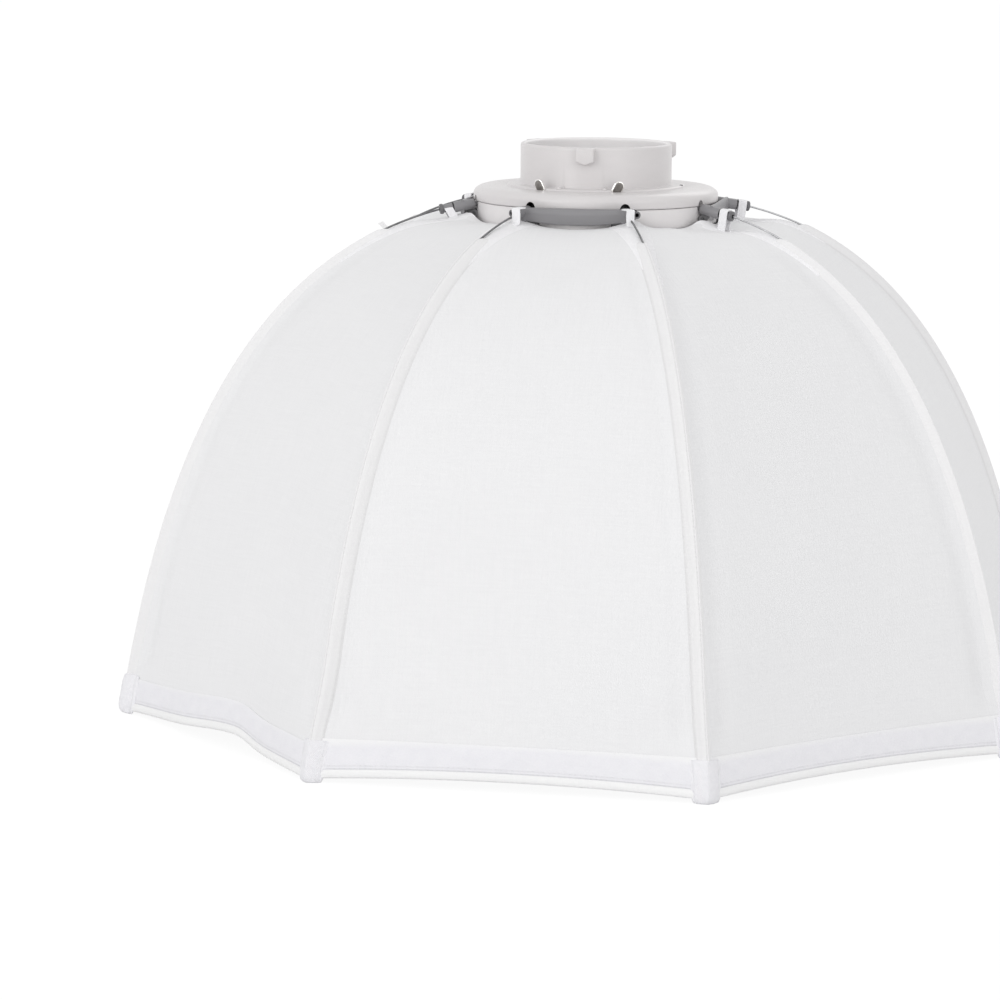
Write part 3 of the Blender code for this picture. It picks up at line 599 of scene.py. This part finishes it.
# Painted reflection: the tabs' flat faces are the plated metal painted dark, for the dark surroundings they
# reflect
TAB_FACE_PAINTED_REFLECTION = metal_finish("tab_face_painted_reflection", (0.26, 0.245, 0.235), (0.12, 0.11, 0.1), 0.38)


# Speedring


def notch_tools():
    """Rods of an upright oval section through the seam, one over each rib socket."""
    tools = []
    for k in range(-4, 4):
        heading, half = HALF + k * OCTANT, NOTCH_HALF_WIDTH
        if k in FRONT_NOTCHES:
            heading, half = heading + FRONT_NOTCH_TURN, FRONT_HALF_WIDTH
        raised = turned(heading) @ Matrix.Translation((0, 0, NOTCH_HEIGHT))
        oval = raised @ Matrix.Diagonal((1, 1, NOTCH_HALF_HEIGHT / half, 1))
        tools.append(lathe([(NOTCH_FLOOR, half), (NOTCH_OUTSIDE, half)], oval))
    return tools


def notch_shade_faces(mesh):
    """1 for the faces inside the two front notches, which are painted black as shade, and 0 elsewhere."""
    x, y, z = points_of(mesh).T
    reach = np.hypot(x, y)
    up = (z - NOTCH_HEIGHT) / NOTCH_HALF_HEIGHT
    inside = np.zeros(len(reach), bool)
    for k in FRONT_NOTCHES:
        turn = np.arctan2(y, x) - HALF - k * OCTANT - FRONT_NOTCH_TURN
        oval = np.hypot(reach * turn / FRONT_HALF_WIDTH, up)
        inside |= (oval < 1.02) & (reach > NOTCH_FLOOR - 0.2 * MM)
    return [inside[list(face.vertices)].all() for face in mesh.polygons]


def painted_light_bore_faces(mesh):
    """1 for the faces of the bore, which are painted lighter as painted light on the inner wall, and 0
    elsewhere.
    """
    return [hypot(*face.center.xy) < BORE_LIMIT for face in mesh.polygons]


def neck_shape():
    rim = arc((47.3, 35.5), 1.7, pi, 0, 11)
    step = [(49.0, 11.0), (56.2, 10.9), (57.1, 10.6), (57.7, 10.1), (58.0, 9.5), (49.2, 9.5)]
    mesh = ring_mesh([*rim, *step, (49.2, -6.0), (45.6, -6.0)], 0.5 * MM, 4)
    lugs = [moved(lug_shape(), from_front(NECK_TURN + 120 * k)) for k in range(3)]
    stops = [moved(stop_shape(), from_front(side * STOP_ANGLE)) for side in (-1, 1)]
    return combine(mesh, joined(*lugs, *stops), "UNION")


def stop_shape():
    """A small round-topped boss on the neck's step."""
    layers = []
    for reach, inset in ((48.0, 0), (56.2, 0), (56.6, 0.15), (56.8, 0.5)):
        width = 1.3 - inset
        outline = [(-width, 10.8), (width, 10.8), *arc((0, 10.9), width, 0, pi, 12)]
        layers.append(in_mm([(reach, t, z) for t, z in outline]))
    return loft(layers)


def lug_shape():
    """A flat-topped lug whose underside comes to a shallow point, with eased edges."""
    layers = []
    for reach, inset in ((47.3, 0), (53.2, 0), (53.65, 0.12), (53.9, 0.36), (54.0, 0.7)):
        w, low, high = 5.75 - inset, 28.2 + inset, 36.9 - inset
        outline = rounded([(-w, high), (w, high), (w, low), (0, low - 2.0), (-w, low)], 0.7, 4)
        layers.append(in_mm([(reach, t, z) for t, z in outline]))
    return loft(layers)


def flange_shape():
    outline = [(49.6, 9.9), (52.2, 9.9), (52.2, 7.3), (56.0, 7.3), (56.0, 9.8), (67.0, 9.8), (71.0, 9.6)]
    outline += [(73.6, 9.3), (75.6, 8.75), (77.0, 8.0), (78.1, 7.1), (78.8, 6.2), (79.2, 5.3), (79.3, 4.4)]
    outline += [(79.3, 0.9), (79.05, 0.35), (78.6, 0.15), (49.6, 0.15)]
    return combine(ring_mesh(outline, 0.3 * MM), joined(*notch_tools()), "DIFFERENCE")


def lower_ring_shape():
    """The lower ring half, with an ear at each end of the four handles, a recess beside it for the handle's
    knuckle, and room for the screws' heads."""
    mesh = ring_mesh([(50.2, -0.15), (78.4, -0.15), (78.4, -12.8), (50.2, -12.8)], 0.6 * MM, 5)
    section = arc(HINGE, 2.5 * MM, -pi / 2, pi / 2, 14)
    section += [(68.4 * MM, HINGE[1] + 2.5 * MM), (68.4 * MM, HINGE[1] - 2.5 * MM)]
    ears, recesses = [], []
    for quarter in range(4):
        for side in (-1, 1):
            turn = turned(radians(90 * quarter))
            ear = loft([[(u, side * t * MM, z) for u, z in section] for t in (11.0, 23.1)])
            ears.append(moved(ear, turn))
            line = turn @ Matrix.Translation((HINGE[0], 0, HINGE[1])) @ turned(side * pi / 2)
            recesses.append(lathe(in_mm([(22.9, 3.1), (33.2, 3.1)]), line, 28))
    mesh = combine(mesh, joined(*ears), "UNION")
    mesh = combine(mesh, joined(*recesses), "DIFFERENCE")
    places = [upright(SCREW_CIRCLE, heading) for heading in SCREW_HEADINGS]
    heads = [lathe(in_mm([(-14.8, 3.4), (-8.9, 3.4)]), place, 28) for place in places]
    return combine(mesh, joined(*notch_tools(), *heads), "DIFFERENCE")


def clip_shape():
    """A round spring wire in the groove under the neck's step, open at the front."""
    ends = radians(TAB_ANGLE)
    section = [(r, 0, z) for r, z in arc((54.1 * MM, 8.6 * MM), 0.95 * MM, 0, radians(340), 18)]
    turns = [turned(radians(-90 + CLIP_TURN) + a) for a in np.linspace(ends, 2 * pi - ends, 120)]
    return loft([[turn @ Vector(p) for p in section] for turn in turns])


def tab_shape(side):
    """A flat finger tab with round ends and eased edges, splayed back along the wire it stands on."""
    layers = []
    for x, inset in ((-0.75, 0.75), (-0.65, 0.3), (-0.4, 0.0), (0.4, 0.0), (0.65, 0.3), (0.75, 0.75)):
        outline = arc((0, 1.6), 3.3 - inset, pi, 2 * pi, 16)
        outline += arc((0, 4.9), 3.3 - inset, 0, pi, 16)
        layers.append(in_mm([(x, t, z) for t, z in outline]))
    foot = from_front(CLIP_TURN + side * TAB_ANGLE) @ Matrix.Translation((58.2 * MM, 0, 9.1 * MM))
    tilt = Matrix.Rotation(radians(-26 * side), 4, "X") @ Matrix.Rotation(radians(4), 4, "Y")
    return moved(loft(layers), foot @ tilt)


def screw_shape(place):
    """A pan-head screw, upside down in its recess, with a round drive."""
    stations = [(-10.2, 0.05), (-10.2, 1.25), (-11.4, 1.25), (-11.4, 2.5), (-11.2, 2.9), (-10.8, 3.1)]
    stations += [(-9.2, 3.1), (-9.2, 1.3), (6.1, 1.3), (7.4, 0.4)]
    return lathe(in_mm(stations), place, 28)


def fitted(obj, body, node=None):
    """The piece on its body and the node that it replaces."""
    if node:
        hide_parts(node)
    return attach(obj, body)


def on_ring(name, shape, finish, node=None, faces=None):
    fitted(piece(name, shape, finish, faces=faces), "ring", node)


def build_ring():
    neck, flange, lower = neck_shape(), flange_shape(), lower_ring_shape()
    # The bore of the neck takes the lighter plastic as painted light
    on_ring("neck", neck, [RING, BORE_PAINTED_LIGHT], "mount_insert", painted_light_bore_faces(neck))
    # The front notches of both ring halves are painted black as shade
    on_ring("flange_ring", flange, [RING, SHADE_BLACK], "flange", notch_shade_faces(flange))
    # The lower half takes the lighter plastic as painted light
    on_ring("lower_half", lower, [LOWER_PAINTED_LIGHT, SHADE_BLACK], "lower_ring", notch_shade_faces(lower))
    on_ring("spring_clip", clip_shape(), CHROME, "retaining_clip")
    for number, side in ((1, -1), (2, 1)):
        tab = tab_shape(side)
        # The two flat faces of each tab take the dark painted reflection
        flat_faces_painted_reflection = np.arange(len(tab[1])) >= len(tab[1]) - 2
        on_ring(f"finger_tab_{number}", tab, [CHROME, TAB_FACE_PAINTED_REFLECTION], faces=flat_faces_painted_reflection)
    for number, heading in enumerate(SCREW_HEADINGS, 1):
        screw = screw_shape(upright(SCREW_CIRCLE, heading))
        on_ring(f"screw_{number}", screw, STEEL, f"ring_screw_{number}")
        disc = lathe(in_mm([(8.6, 2.5), (9.55, 2.5), (9.75, 2.25)]), upright(BOSS_CIRCLE, heading), 28)
        on_ring(f"boss_{number}", disc, RING)
    rivet = lathe(in_mm([(10.0, 1.1), (11.1, 1.1), (11.3, 0.7)]), upright(56.2 * MM, -2), 20)
    on_ring("clip_rivet", rivet, COLLAR)


# Handles, sockets and ribs


def socket_place(raised, splayed):
    """The frame of a socket, which may be raised from its slope and splayed from its radial plane."""
    anchor = Matrix.Translation((SOCKET_ANCHOR[0], 0, SOCKET_ANCHOR[1]))
    return anchor @ turned(splayed) @ Matrix.Rotation(SOCKET_SLOPE - raised, 4, "Y")


def socket_depth(r):
    return (r * MM - SOCKET_ANCHOR[0]) / cos(SOCKET_SLOPE)


# Radius from the ring's axis, radius of the turned form, and the finish up to the next station; finish 2 is
# black painted shade, in the mouth's bore and on the step down to the waist
SOCKET_STATIONS = [
    (75.2, 0.5, 0), (75.4, 0.9, 0), (75.9, 1.25, 0), (80.1, 1.5, 0), (80.2, 3.3, 0), (80.5, 3.5, 0),
    (93.6, 3.5, 0), (93.9, 3.4, 2), (94.3, 3.35, 2), (94.7, 2.7, 0), (95.0, 2.6, 0), (100.3, 2.6, 0),
    (100.6, 2.7, 1), (100.8, 3.1, 1), (101.1, 3.3, 1), (102.3, 3.3, 1), (102.8, 3.1, 1), (103.0, 2.7, 1),
    (103.0, 1.4, 2), (102.7, 1.1, 2), (87.0, 1.1, 2),
]

# Where a socket's end begins and how far it reaches, and the radius of its mouth there and on the front ones
SOCKET_WAIST, SOCKET_REACH = 94.5, SOCKET_MOUTH / MM
SOCKET_RIM, FRONT_RIM = 3.3, 2.4


def socket_shape(place, reach, rim):
    """A socket and the finish of each of its faces. Its end may be shorter and smaller than the others'."""
    sides = 40
    stations = []
    for r, radius, _ in SOCKET_STATIONS:
        if r > SOCKET_WAIST:
            r = SOCKET_WAIST + (r - SOCKET_WAIST) * (reach - SOCKET_WAIST) / (SOCKET_REACH - SOCKET_WAIST)
            radius = min(radius, rim)
        stations.append((socket_depth(r), radius * MM))
    faces = np.repeat([finish for _, _, finish in SOCKET_STATIONS[:-1]], sides)
    return lathe(stations, place, sides), [*faces, 0, 2]


def bar_section(bottom):
    """The bar's outline as (outward, height): a D with a ridge along the upper third of its face."""
    height = 1.0 * MM - bottom
    shape = [(-0.9, 0.0), (-1.0, 0.1), (-1.0, 0.95), (-0.7, 1.0), (0.3, 1.0), (0.8, 0.87), (1.15, 0.64)]
    shape += [(0.7, 0.08), (0.4, 0.0)]
    return rounded([(81.1 * MM + x * 1.4 * MM, bottom + share * height) for x, share in shape], 0.35 * MM)


def bar_mesh():
    """A straight bar whose lower edge bows down in the middle, with a foot and a hinge knuckle at each
    end."""
    half = [(35.6, -7.6), (35.4, -8.1), (35.0, -8.5), (34.6, -8.6), (31.2, -8.6), (30.8, -8.2), (30.5, -7.4)]
    half += [(t, -7.2 - 2.5 * (1 - (t / 30.5) ** 2)) for t in np.linspace(30.2, 2.0, 15)]
    whole = [(-t, z) for t, z in half] + [(0.0, -9.7)] + half[::-1]
    mesh = mesh_of(loft([[(x, t * MM, z) for x, z in bar_section(low * MM)] for t, low in whole]))
    section = arc(HINGE, 2.7 * MM, radians(100), radians(350), 22)
    section += [(80.9 * MM, -6.0 * MM), (80.9 * MM, -3.0 * MM), (76.6 * MM, -3.0 * MM)]
    for side in (-1, 1):
        knuckle = loft([[(u, side * t * MM, z) for u, z in section] for t in (23.5, 30.2)])
        mesh = combine(mesh, knuckle, "UNION")
    return mesh


def rib_shape():
    s = np.concatenate([[ALONG[0]], np.linspace(0, LENGTH - 6 * MM, 90)])
    a = circle(14)
    r, z, nr, nz = (row[:, None] for row in on_rib(s))
    out, across = RIB_RADIUS * np.sin(a), RIB_RADIUS * np.cos(a)
    return loft(np.stack(np.broadcast_arrays(r + out * nr, across, z + out * nz), -1))


# Sewn pieces on the ribs

# Distance across the sleeve and height over the cloth: a soft slope, the channel over the rib, a groove and
# the standing seam on the ridge
SLEEVE_SECTION = [
    (-6.4, -0.1), (-6.0, 0.08), (-5.4, 0.2), (-4.9, 0.45), (-4.4, 0.85), (-3.9, 1.3), (-3.4, 1.75),
    (-2.9, 2.25), (-2.3, 2.7), (-1.6, 3.0), (-1.0, 3.1), (-0.5, 3.05), (-0.1, 2.95), (0.25, 3.0),
    (0.5, 3.25), (0.75, 3.55), (1.0, 3.7), (1.3, 3.65), (1.6, 3.3), (2.0, 2.7), (2.5, 1.95), (3.0, 1.2),
    (3.5, 0.6), (4.0, 0.2), (4.5, -0.1),
]


def over_ridge(panels, s, across, out):
    """Points over the ridge between two panels, at those distances across it and heights over the cloth."""
    beside = np.abs(across) / (radius_at(s) * sin(HALF))
    if np.mean(across) < 0:
        return on_panel(panels[0], 1 - beside, s, out)
    return on_panel(panels[1], beside - 1, s, out)


def ridge_sheet(panels, columns):
    """A thin sheet over the ridge. Each of its columns is the places down the ribs, the flat place across,
    and the distance across and height of the outer and of the inner face."""
    outer = [over_ridge(panels, s, *face) for s, _, face, _ in columns]
    inner = [over_ridge(panels, s, *face) for s, _, _, face in columns]
    flat = [np.stack(np.broadcast_arrays(u, s), -1) for s, u, _, _ in columns]
    return sheet_shell(np.array(outer), np.array(inner), np.array(flat))


def sleeve_shape(panels, side, top):
    """The sleeve over a rib from that radius on, with its slope on the panel's side. It rises from the ridge
    over its first stretch, and the edge of its slope stands up towards the corner."""
    first, last = length_at(top - 5 * MM), LENGTH - 23 * MM
    columns = []
    for across, height in in_mm(SLEEVE_SECTION)[::side]:
        start = first - 4 * MM * (1 - (across / (6.4 * MM)) ** 2)
        s = np.linspace(start, last, 150)
        grown = height * ease(s, first - 7 * MM, first + 6 * MM)
        edge = 0.6 * MM * bump_at(across, -5.4 * MM, 0.6 * MM) * ease(s, LENGTH - 150 * MM, LENGTH - 70 * MM)
        columns.append((s, across, (side * across, grown + edge), (side * across, grown - 0.4 * MM)))
    return ridge_sheet(panels, columns)


def loose_end_shape(panels, top):
    """The loose end of the standing seam at a sleeve's mouth."""
    columns = []
    for up in np.linspace(0, 1, 8):
        s = length_at(top) - 8.0 * MM + 1.8 * MM * up + np.linspace(0, 3.4 * MM, 8)
        stand = np.full(len(s), 2.0 * MM + 5.0 * MM * up)
        columns.append((s, stand, (-0.4 * MM, stand), (0.4 * MM, stand)))
    return ridge_sheet(panels, columns)


def ridge_tape_shape(panels):
    """A tape patch on the ridge between two panels, widest at the ring and narrow where it runs into the
    sleeve."""
    s = np.linspace(length_at(87.0 * MM), length_at(172.0 * MM), 44)
    half = 13.0 * MM - 7.5 * MM * ease(radius_at(s), 88 * MM, 170 * MM)
    columns = []
    for a in np.linspace(-1, 1, 21):
        crown = 0.75 * MM * (1 - a * a)
        columns.append((s, a * half, (a * half, 0.08 * MM + crown), (a * half, 0.5 * crown - 0.2 * MM)))
    return ridge_sheet(panels, columns)


def tape_shell(place, path, across, side, half, crown, spot):
    """A tape along a path in a plane, with its outer face on that side of the path and a slight crown
    across it. spot gives the place of the plane's points in the socket's frame."""
    step = np.gradient(path, axis=0)
    normal = side * np.stack([-step[:, 1], step[:, 0]], -1) / np.linalg.norm(step, axis=1)[:, None]
    swell = crown * (1 - np.linspace(-1, 1, len(across)) ** 2)
    faces = []
    for offset in (half, -half):
        points = path[:, None] + normal[:, None] * (offset + swell[None, :, None])
        faces.append(carried(np.stack(spot(points[..., 0], points[..., 1]), -1), place))
    flat = np.stack(np.broadcast_arrays(across, distances(path)[:, None]), -1) * MM
    return sheet_shell(*faces, flat)


def strap_shape(place, reach, sides):
    """A tape that lies over a front socket, turns down before its mouth and ends on the cloth. Its two
    sides are given as distances across the socket, and its lower end leans towards the bar's middle."""
    top = 3.2
    path = [(-1.0, top), (-0.2, 3.05), (0.3, 2.6), (0.5, 1.8), (0.6, 0.0), (0.7, -3.0), (0.9, -5.2)]
    path += [(1.3, -6.2), (2.2, -6.7), (4.0, -6.9)]
    path = np.array([(92.0, top), *[(reach + r, z) for r, z in path]])
    lean = 0.16 * np.sign(sides[0] + sides[1]) * np.minimum(top, top - path[:, 1])
    across = np.linspace(sides[0], sides[1], 9)
    y = (across + lean[:, None]) * MM
    return tape_shell(place, path, across, 1, 0.3, 0.15, lambda r, z: (socket_depth(r), y, z * MM))


def loop_shape(place, fall, top, lean):
    """A tape loop over the socket's waist, flat at that height, whose two ends fall that far, lean towards
    the ring and splay on the cloth."""
    half = [(5.4, -fall), (4.5, -fall), (3.75, 0.15 - fall), (3.3, 0.6 - fall), (3.1, 1.4 - fall)]
    half += [(3.1, 0.4 * top - 3.3), (3.1, top - 3.2), (3.1, top - 1.7), (3.0, top - 1.0), (2.7, top - 0.45)]
    half += [(2.1, top - 0.15), (1.3, top - 0.05), (0.5, top)]
    path = np.array([*half, *[(-x, z) for x, z in half[::-1]]])
    depth = np.linspace(95.0, 100.4, 7)
    x = socket_depth(depth + lean * (path[:, 1:] - top))
    return tape_shell(place, path, depth - depth[3], -1, 0.36, 0.12, lambda y, z: (x, y * MM, z * MM))


# Height above the rib's foot, share of the pocket's swell and share of its width
CAP_ROWS = [
    (26.3, 0.55, 0.985), (25.8, 0.72, 1.0), (24.8, 0.86, 1.0), (22.0, 0.96, 1.0), (18.0, 1.0, 0.99),
    (12.0, 1.0, 0.99), (8.0, 1.02, 1.0), (5.5, 1.0, 1.0), (3.6, 0.93, 0.96), (2.2, 0.84, 0.9),
    (1.0, 0.68, 0.82), (0.3, 0.48, 0.75), (0.0, 0.36, 0.7),
]


def cap_shape():
    """A folded tape pocket over the rib's tip: a soft ridge, a stitched flap on each side and a round
    foot."""
    half = [(9.2, -1.6), (8.9, -1.0), (8.4, -0.6), (7.8, -0.35), (7.2, -0.15), (6.7, 0.2), (6.2, 0.75)]
    half += [(5.7, 1.35), (4.6, 2.2), (3.0, 2.9), (1.2, 3.45), (0.0, 3.6)]
    across, proud = in_mm(half + [(-a, out) for a, out in half[-2::-1]]).T
    back_across, back = across[::-1] * 0.94, -2.2 * MM
    u = np.concatenate([across, back_across])
    rings, flat = [], []
    for height, swell, wide in CAP_ROWS:
        s = np.full(len(u), LENGTH - height * MM)
        out = np.concatenate([back + (proud - back) * swell, np.full(len(across), back)])
        ring = beside_rib(s, u * wide, out)
        ring[:, 2] = np.maximum(ring[:, 2], -SEAM + 0.05 * MM)
        rings.append(ring)
        flat.append(np.stack([u, s], -1))
    return loft(rings, flat=flat)


# Canopy


def canopy_shape(wing):
    hem = np.linspace(LENGTH - 42 * MM, LENGTH - 1.0 * MM, 20)
    s = np.concatenate([np.linspace(TOP, LENGTH - 44 * MM, 92), hem])
    outer, flat = over_wing(wing, s, 0.0)
    inner, _ = over_wing(wing, s, -CLOTH)
    return sheet_shell(outer, inner, flat)


def trim(wing, rows, out):
    """A trim along a wing with the section that rows and out give it."""
    rings, flat = over_wing(wing, rows, out)
    return loft(rings, flat=flat)


def top_binding_shape(wing):
    """A narrow folded hem along the top edge."""
    a = circle(12)
    return trim(wing, TOP + 3.4 * MM + 3.9 * MM * np.cos(a), -0.3 * MM + 0.6 * MM * np.sin(a))


def band_shape(wing):
    """The hook-and-loop band along the hem, a little taller beside the caps."""
    outline = rounded([(0, 0.1), (0, 0.6), (0.5, 0.66), (1, 0.6), (1, 0.1)], 0.05, 4)
    low = 5.2

    def rows(panel, share):
        top = 21.5 if panel == WAVY_PANEL else 22.0 + 2.8 * share**2
        return LENGTH - (low + (top - low) * outline[:, 0]) * MM

    return trim(wing, rows, outline[:, 1] * MM)


def piping_shape(wing):
    """A round cord in the lower edge."""
    a = circle(16)
    return trim(wing, LENGTH - (2.7 * MM + 2.7 * MM * np.cos(a)), 0.2 * MM + 1.35 * MM * np.sin(a))


def turn_from(angle, heading):
    """How far an angle is from a heading, either way round."""
    return np.abs((angle - heading + pi) % (2 * pi) - pi)


def hang(obj, wing):
    """Bakes the piece's transform into its mesh. The wing is not used."""
    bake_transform(obj)


def settle(obj):
    """Two of the corners stand a little away from their even places, and the cloth with them."""
    points = points_of(obj.data)
    angle = np.arctan2(points[:, 1], points[:, 0])
    low = ease(-points[:, 2], -75 * MM, 0.0)
    round_ring = np.zeros(len(points))
    for heading, shift in FOOT_SHIFTS:
        round_ring += shift * low * ease(1 - turn_from(angle, radians(heading)) / OCTANT, 0, 1)
    points[:, 0] -= round_ring * np.sin(angle)
    points[:, 1] += round_ring * np.cos(angle)
    obj.data.vertices.foreach_set("co", points.astype(np.float32).ravel())


# The front sockets: degrees by which they are raised and splayed, reach, and the sides of their straps
FRONT_SOCKETS = {1: (8.0, 0.0, 98.4, (0.0, 6.0)), 2: (10.0, 12.0, 99.5, (-7.2, -1.8))}

# How far a loop falls where the cloth doesn't dip and how much further for each millimetre of dip, the
# height of its top and how much it leans, and the loop that has slipped below its socket's waist
LOOP_FALL, LOOP_DIP = 4.2, 0.85
LOOP_TOP = (3.25, 0.0)
SLACK_LOOPS = {8: (0.3, 0.4)}

# The rib whose sleeve has a loose seam end
LOOSE_END = 8


def socket_and_tape(number):
    """The mesh and face finishes of a socket, and the mesh of the tape over it."""
    if number not in FRONT_SOCKETS:
        place = socket_place(0.0, 0.0)
        fall = LOOP_FALL + LOOP_DIP * RIDGE_DIPS[number - 3]
        tape = loop_shape(place, fall, *SLACK_LOOPS.get(number, LOOP_TOP))
        return socket_shape(place, SOCKET_REACH, SOCKET_RIM), tape
    raised, splayed, reach, sides = FRONT_SOCKETS[number]
    place = socket_place(radians(raised), radians(splayed))
    return socket_shape(place, reach, FRONT_RIM), strap_shape(place, reach, sides)


def build_rib(number, side, wing, wire, cap):
    """One socket with its rib and the pieces sewn over it. Returns the sewn pieces."""
    body = f"wing_{wing}"
    turn = radians(WINGS[wing]) + side * HALF
    panel = panel_of(wing)
    panels = ((panel - 1) % 8, panel) if side < 0 else (panel, (panel + 1) % 8)
    sleeve_top = SLEEVE_TOP if wing == "front" else SLEEVE_TOP + SLEEVE_DELAY
    (socket, faces), tape = socket_and_tape(number)
    # The socket's bore and the step before its waist take the black painted shade
    obj = piece(f"socket_{number}", socket, [GREY, COLLAR, SHADE_BLACK], turn, faces=faces)
    fitted(obj, body)
    parts = [
        # The right wing's wires take the paler steel as painted reflection
        ("wire", wire, STEEL_PAINTED_REFLECTION if wing == "right" else STEEL, turn, "rib", "steel"),
        ("sleeve", sleeve_shape(panels, side, sleeve_top), SLEEVE, 0.0, "rib_pocket", "cloth"),
        ("cap", cap, CAP_TAPE, turn, "corner_cap", "tape"),
        ("loop", tape, TAPE, turn, "tape_loop", "tape"),
        ("ridge_tape", ridge_tape_shape(panels), TAPE, 0.0, None, "tape"),
    ]
    if number == LOOSE_END:
        parts.append(("loose_end", loose_end_shape(panels, sleeve_top), SLEEVE, 0.0, None, "cloth"))
    made = []
    for name, shape, finish, heading, node, slot in parts:
        obj = piece(f"{name}_{number}", shape, finish, heading, 60)
        settle(obj)
        made.append(fitted(obj, body, node and f"{node}_{number}"))
    return made[1:]


def build_wings():
    bar = bar_mesh()
    wire, cap = rib_shape(), cap_shape()
    for order, (wing, degrees) in enumerate(WINGS.items()):
        obj = piece(f"bar_{wing}", bar, GREY, radians(degrees))
        fitted(obj, f"wing_{wing}", f"handle_{wing}")
        first = 2 * order + 1
        sewn = build_rib(first, -1, wing, wire, cap) + build_rib(first + 1, 1, wing, wire, cap)
        cloths = {
            "canopy": (canopy_shape(wing), CANOPY, "cloth"),
            "binding": (top_binding_shape(wing), CANOPY, "cloth"),
            "hem_band": (band_shape(wing), PILE, "tape"),
            "piping": (piping_shape(wing), PIPING, "cloth"),
        }
        for name, (shape, finish, slot) in cloths.items():
            obj = piece(f"{name}_{wing}", shape, finish, 0.0, 50)
            settle(obj)
            hang(obj, wing)
        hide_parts(f"panel_{wing}", f"gusset_{wing}")


# Studio

# Metres and watts: each lamp's place, width and power, and the point that all face
LAMPS = {
    "key": ((-1.5, -2.4, 1.2), 1.7, 17.5),
    "fill": ((1.9, -1.9, 1.0), 1.6, 9.0),
    "rear": ((0.5, 2.2, 1.9), 1.6, 7.0),
}
LAMP_AIM = Vector((0, 0, 0.17))
WORLD_FILL = 0.76
FLOOR_HALF = 40
FLOOR_SHADE, FLOOR_GLOW = 0.1, 0.935


def build_stage():
    scene = bpy.context.scene
    scene.view_settings.view_transform = "Standard"
    scene.world = bpy.data.worlds.new("studio")
    scene.world.use_nodes = True
    tree = scene.world.node_tree
    fill = tree.nodes["Background"]
    fill.inputs["Color"].default_value = (1, 1, 1, 1)
    fill.inputs["Strength"].default_value = WORLD_FILL
    white = new_node(tree, "Background", {"Color": (1, 1, 1, 1), "Strength": 1.0})
    two_looks(tree, fill, white, "World Output")

    mesh = bpy.data.meshes.new("floor")
    corners = [(x * FLOOR_HALF, y * FLOOR_HALF, 0) for x, y in ((-1, -1), (1, -1), (1, 1), (-1, 1))]
    mesh.from_pydata(corners, [], [(0, 1, 2, 3)])
    mesh.materials.append(floor_finish())
    linked("floor", mesh)

    for name, (place, size, power) in LAMPS.items():
        light = bpy.data.lights.new(name, "AREA")
        light.shape, light.size, light.energy = "DISK", size, power
        obj = linked(name, light)
        obj.location = place
        obj.rotation_mode = "QUATERNION"
        obj.rotation_quaternion = (LAMP_AIM - Vector(place)).to_track_quat("-Z", "Y")
    scene.camera = photo_camera()


def two_looks(tree, lit, seen, output):
    """The first shader for light, and the second where camera, glossy and transmission rays see it."""
    path = new_node(tree, "LightPath", {}).outputs
    direct = path["Is Camera Ray"]
    for ray in ("Is Glossy Ray", "Is Transmission Ray"):
        direct = new_node(tree, "Math", {0: direct, 1: path[ray]}, operation="MAXIMUM").outputs[0]
    mix = new_node(tree, "MixShader", {0: direct, 1: lit.outputs[0], 2: seen.outputs[0]})
    tree.links.new(mix.outputs[0], tree.nodes[output].inputs["Surface"])


def floor_finish():
    """A matt white floor. Seen directly it glows a little, so that only the object's shadow shows on it."""
    made = Finish("floor_white", (0.86, 0.86, 0.86), 0.9)
    soft = made.node("BsdfDiffuse", {"Color": (FLOOR_SHADE, FLOOR_SHADE, FLOOR_SHADE, 1)})
    glow = made.node("Emission", {"Strength": FLOOR_GLOW})
    both = made.node("AddShader", {0: soft.outputs[0], 1: glow.outputs[0]})
    two_looks(made.tree, made.shader, both, "Material Output")
    return made.material


def photo_camera():
    """The photograph's camera: 2.6 m away, a little right of the front and above the ring."""
    azimuth, heading, pitch, roll = 0.1684, 0.1919, -0.1611, 0.0082
    distance, height = 2.5748, 0.2204
    level = cos(pitch)
    ahead = Vector((-sin(heading) * level, cos(heading) * level, sin(pitch)))
    right = Vector((cos(heading), sin(heading), 0))
    up = right.cross(ahead)
    x = right * cos(roll) + up * sin(roll)
    y = up * cos(roll) - right * sin(roll)
    place = Matrix((x, y, -ahead)).transposed().to_4x4()
    place.translation = (distance * sin(azimuth), -distance * cos(azimuth), SEAM + height)
    camera = bpy.data.cameras.new("camera")
    camera.sensor_width, camera.lens = 36, 142.9
    obj = linked("camera", camera)
    obj.matrix_world = place
    return obj


def finish_pins():
    for name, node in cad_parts.items():
        if name.startswith("hinge_pin"):
            node.data.materials.clear()
            node.data.materials.append(STEEL)


build_ring()
build_wings()
finish_pins()
build_stage()
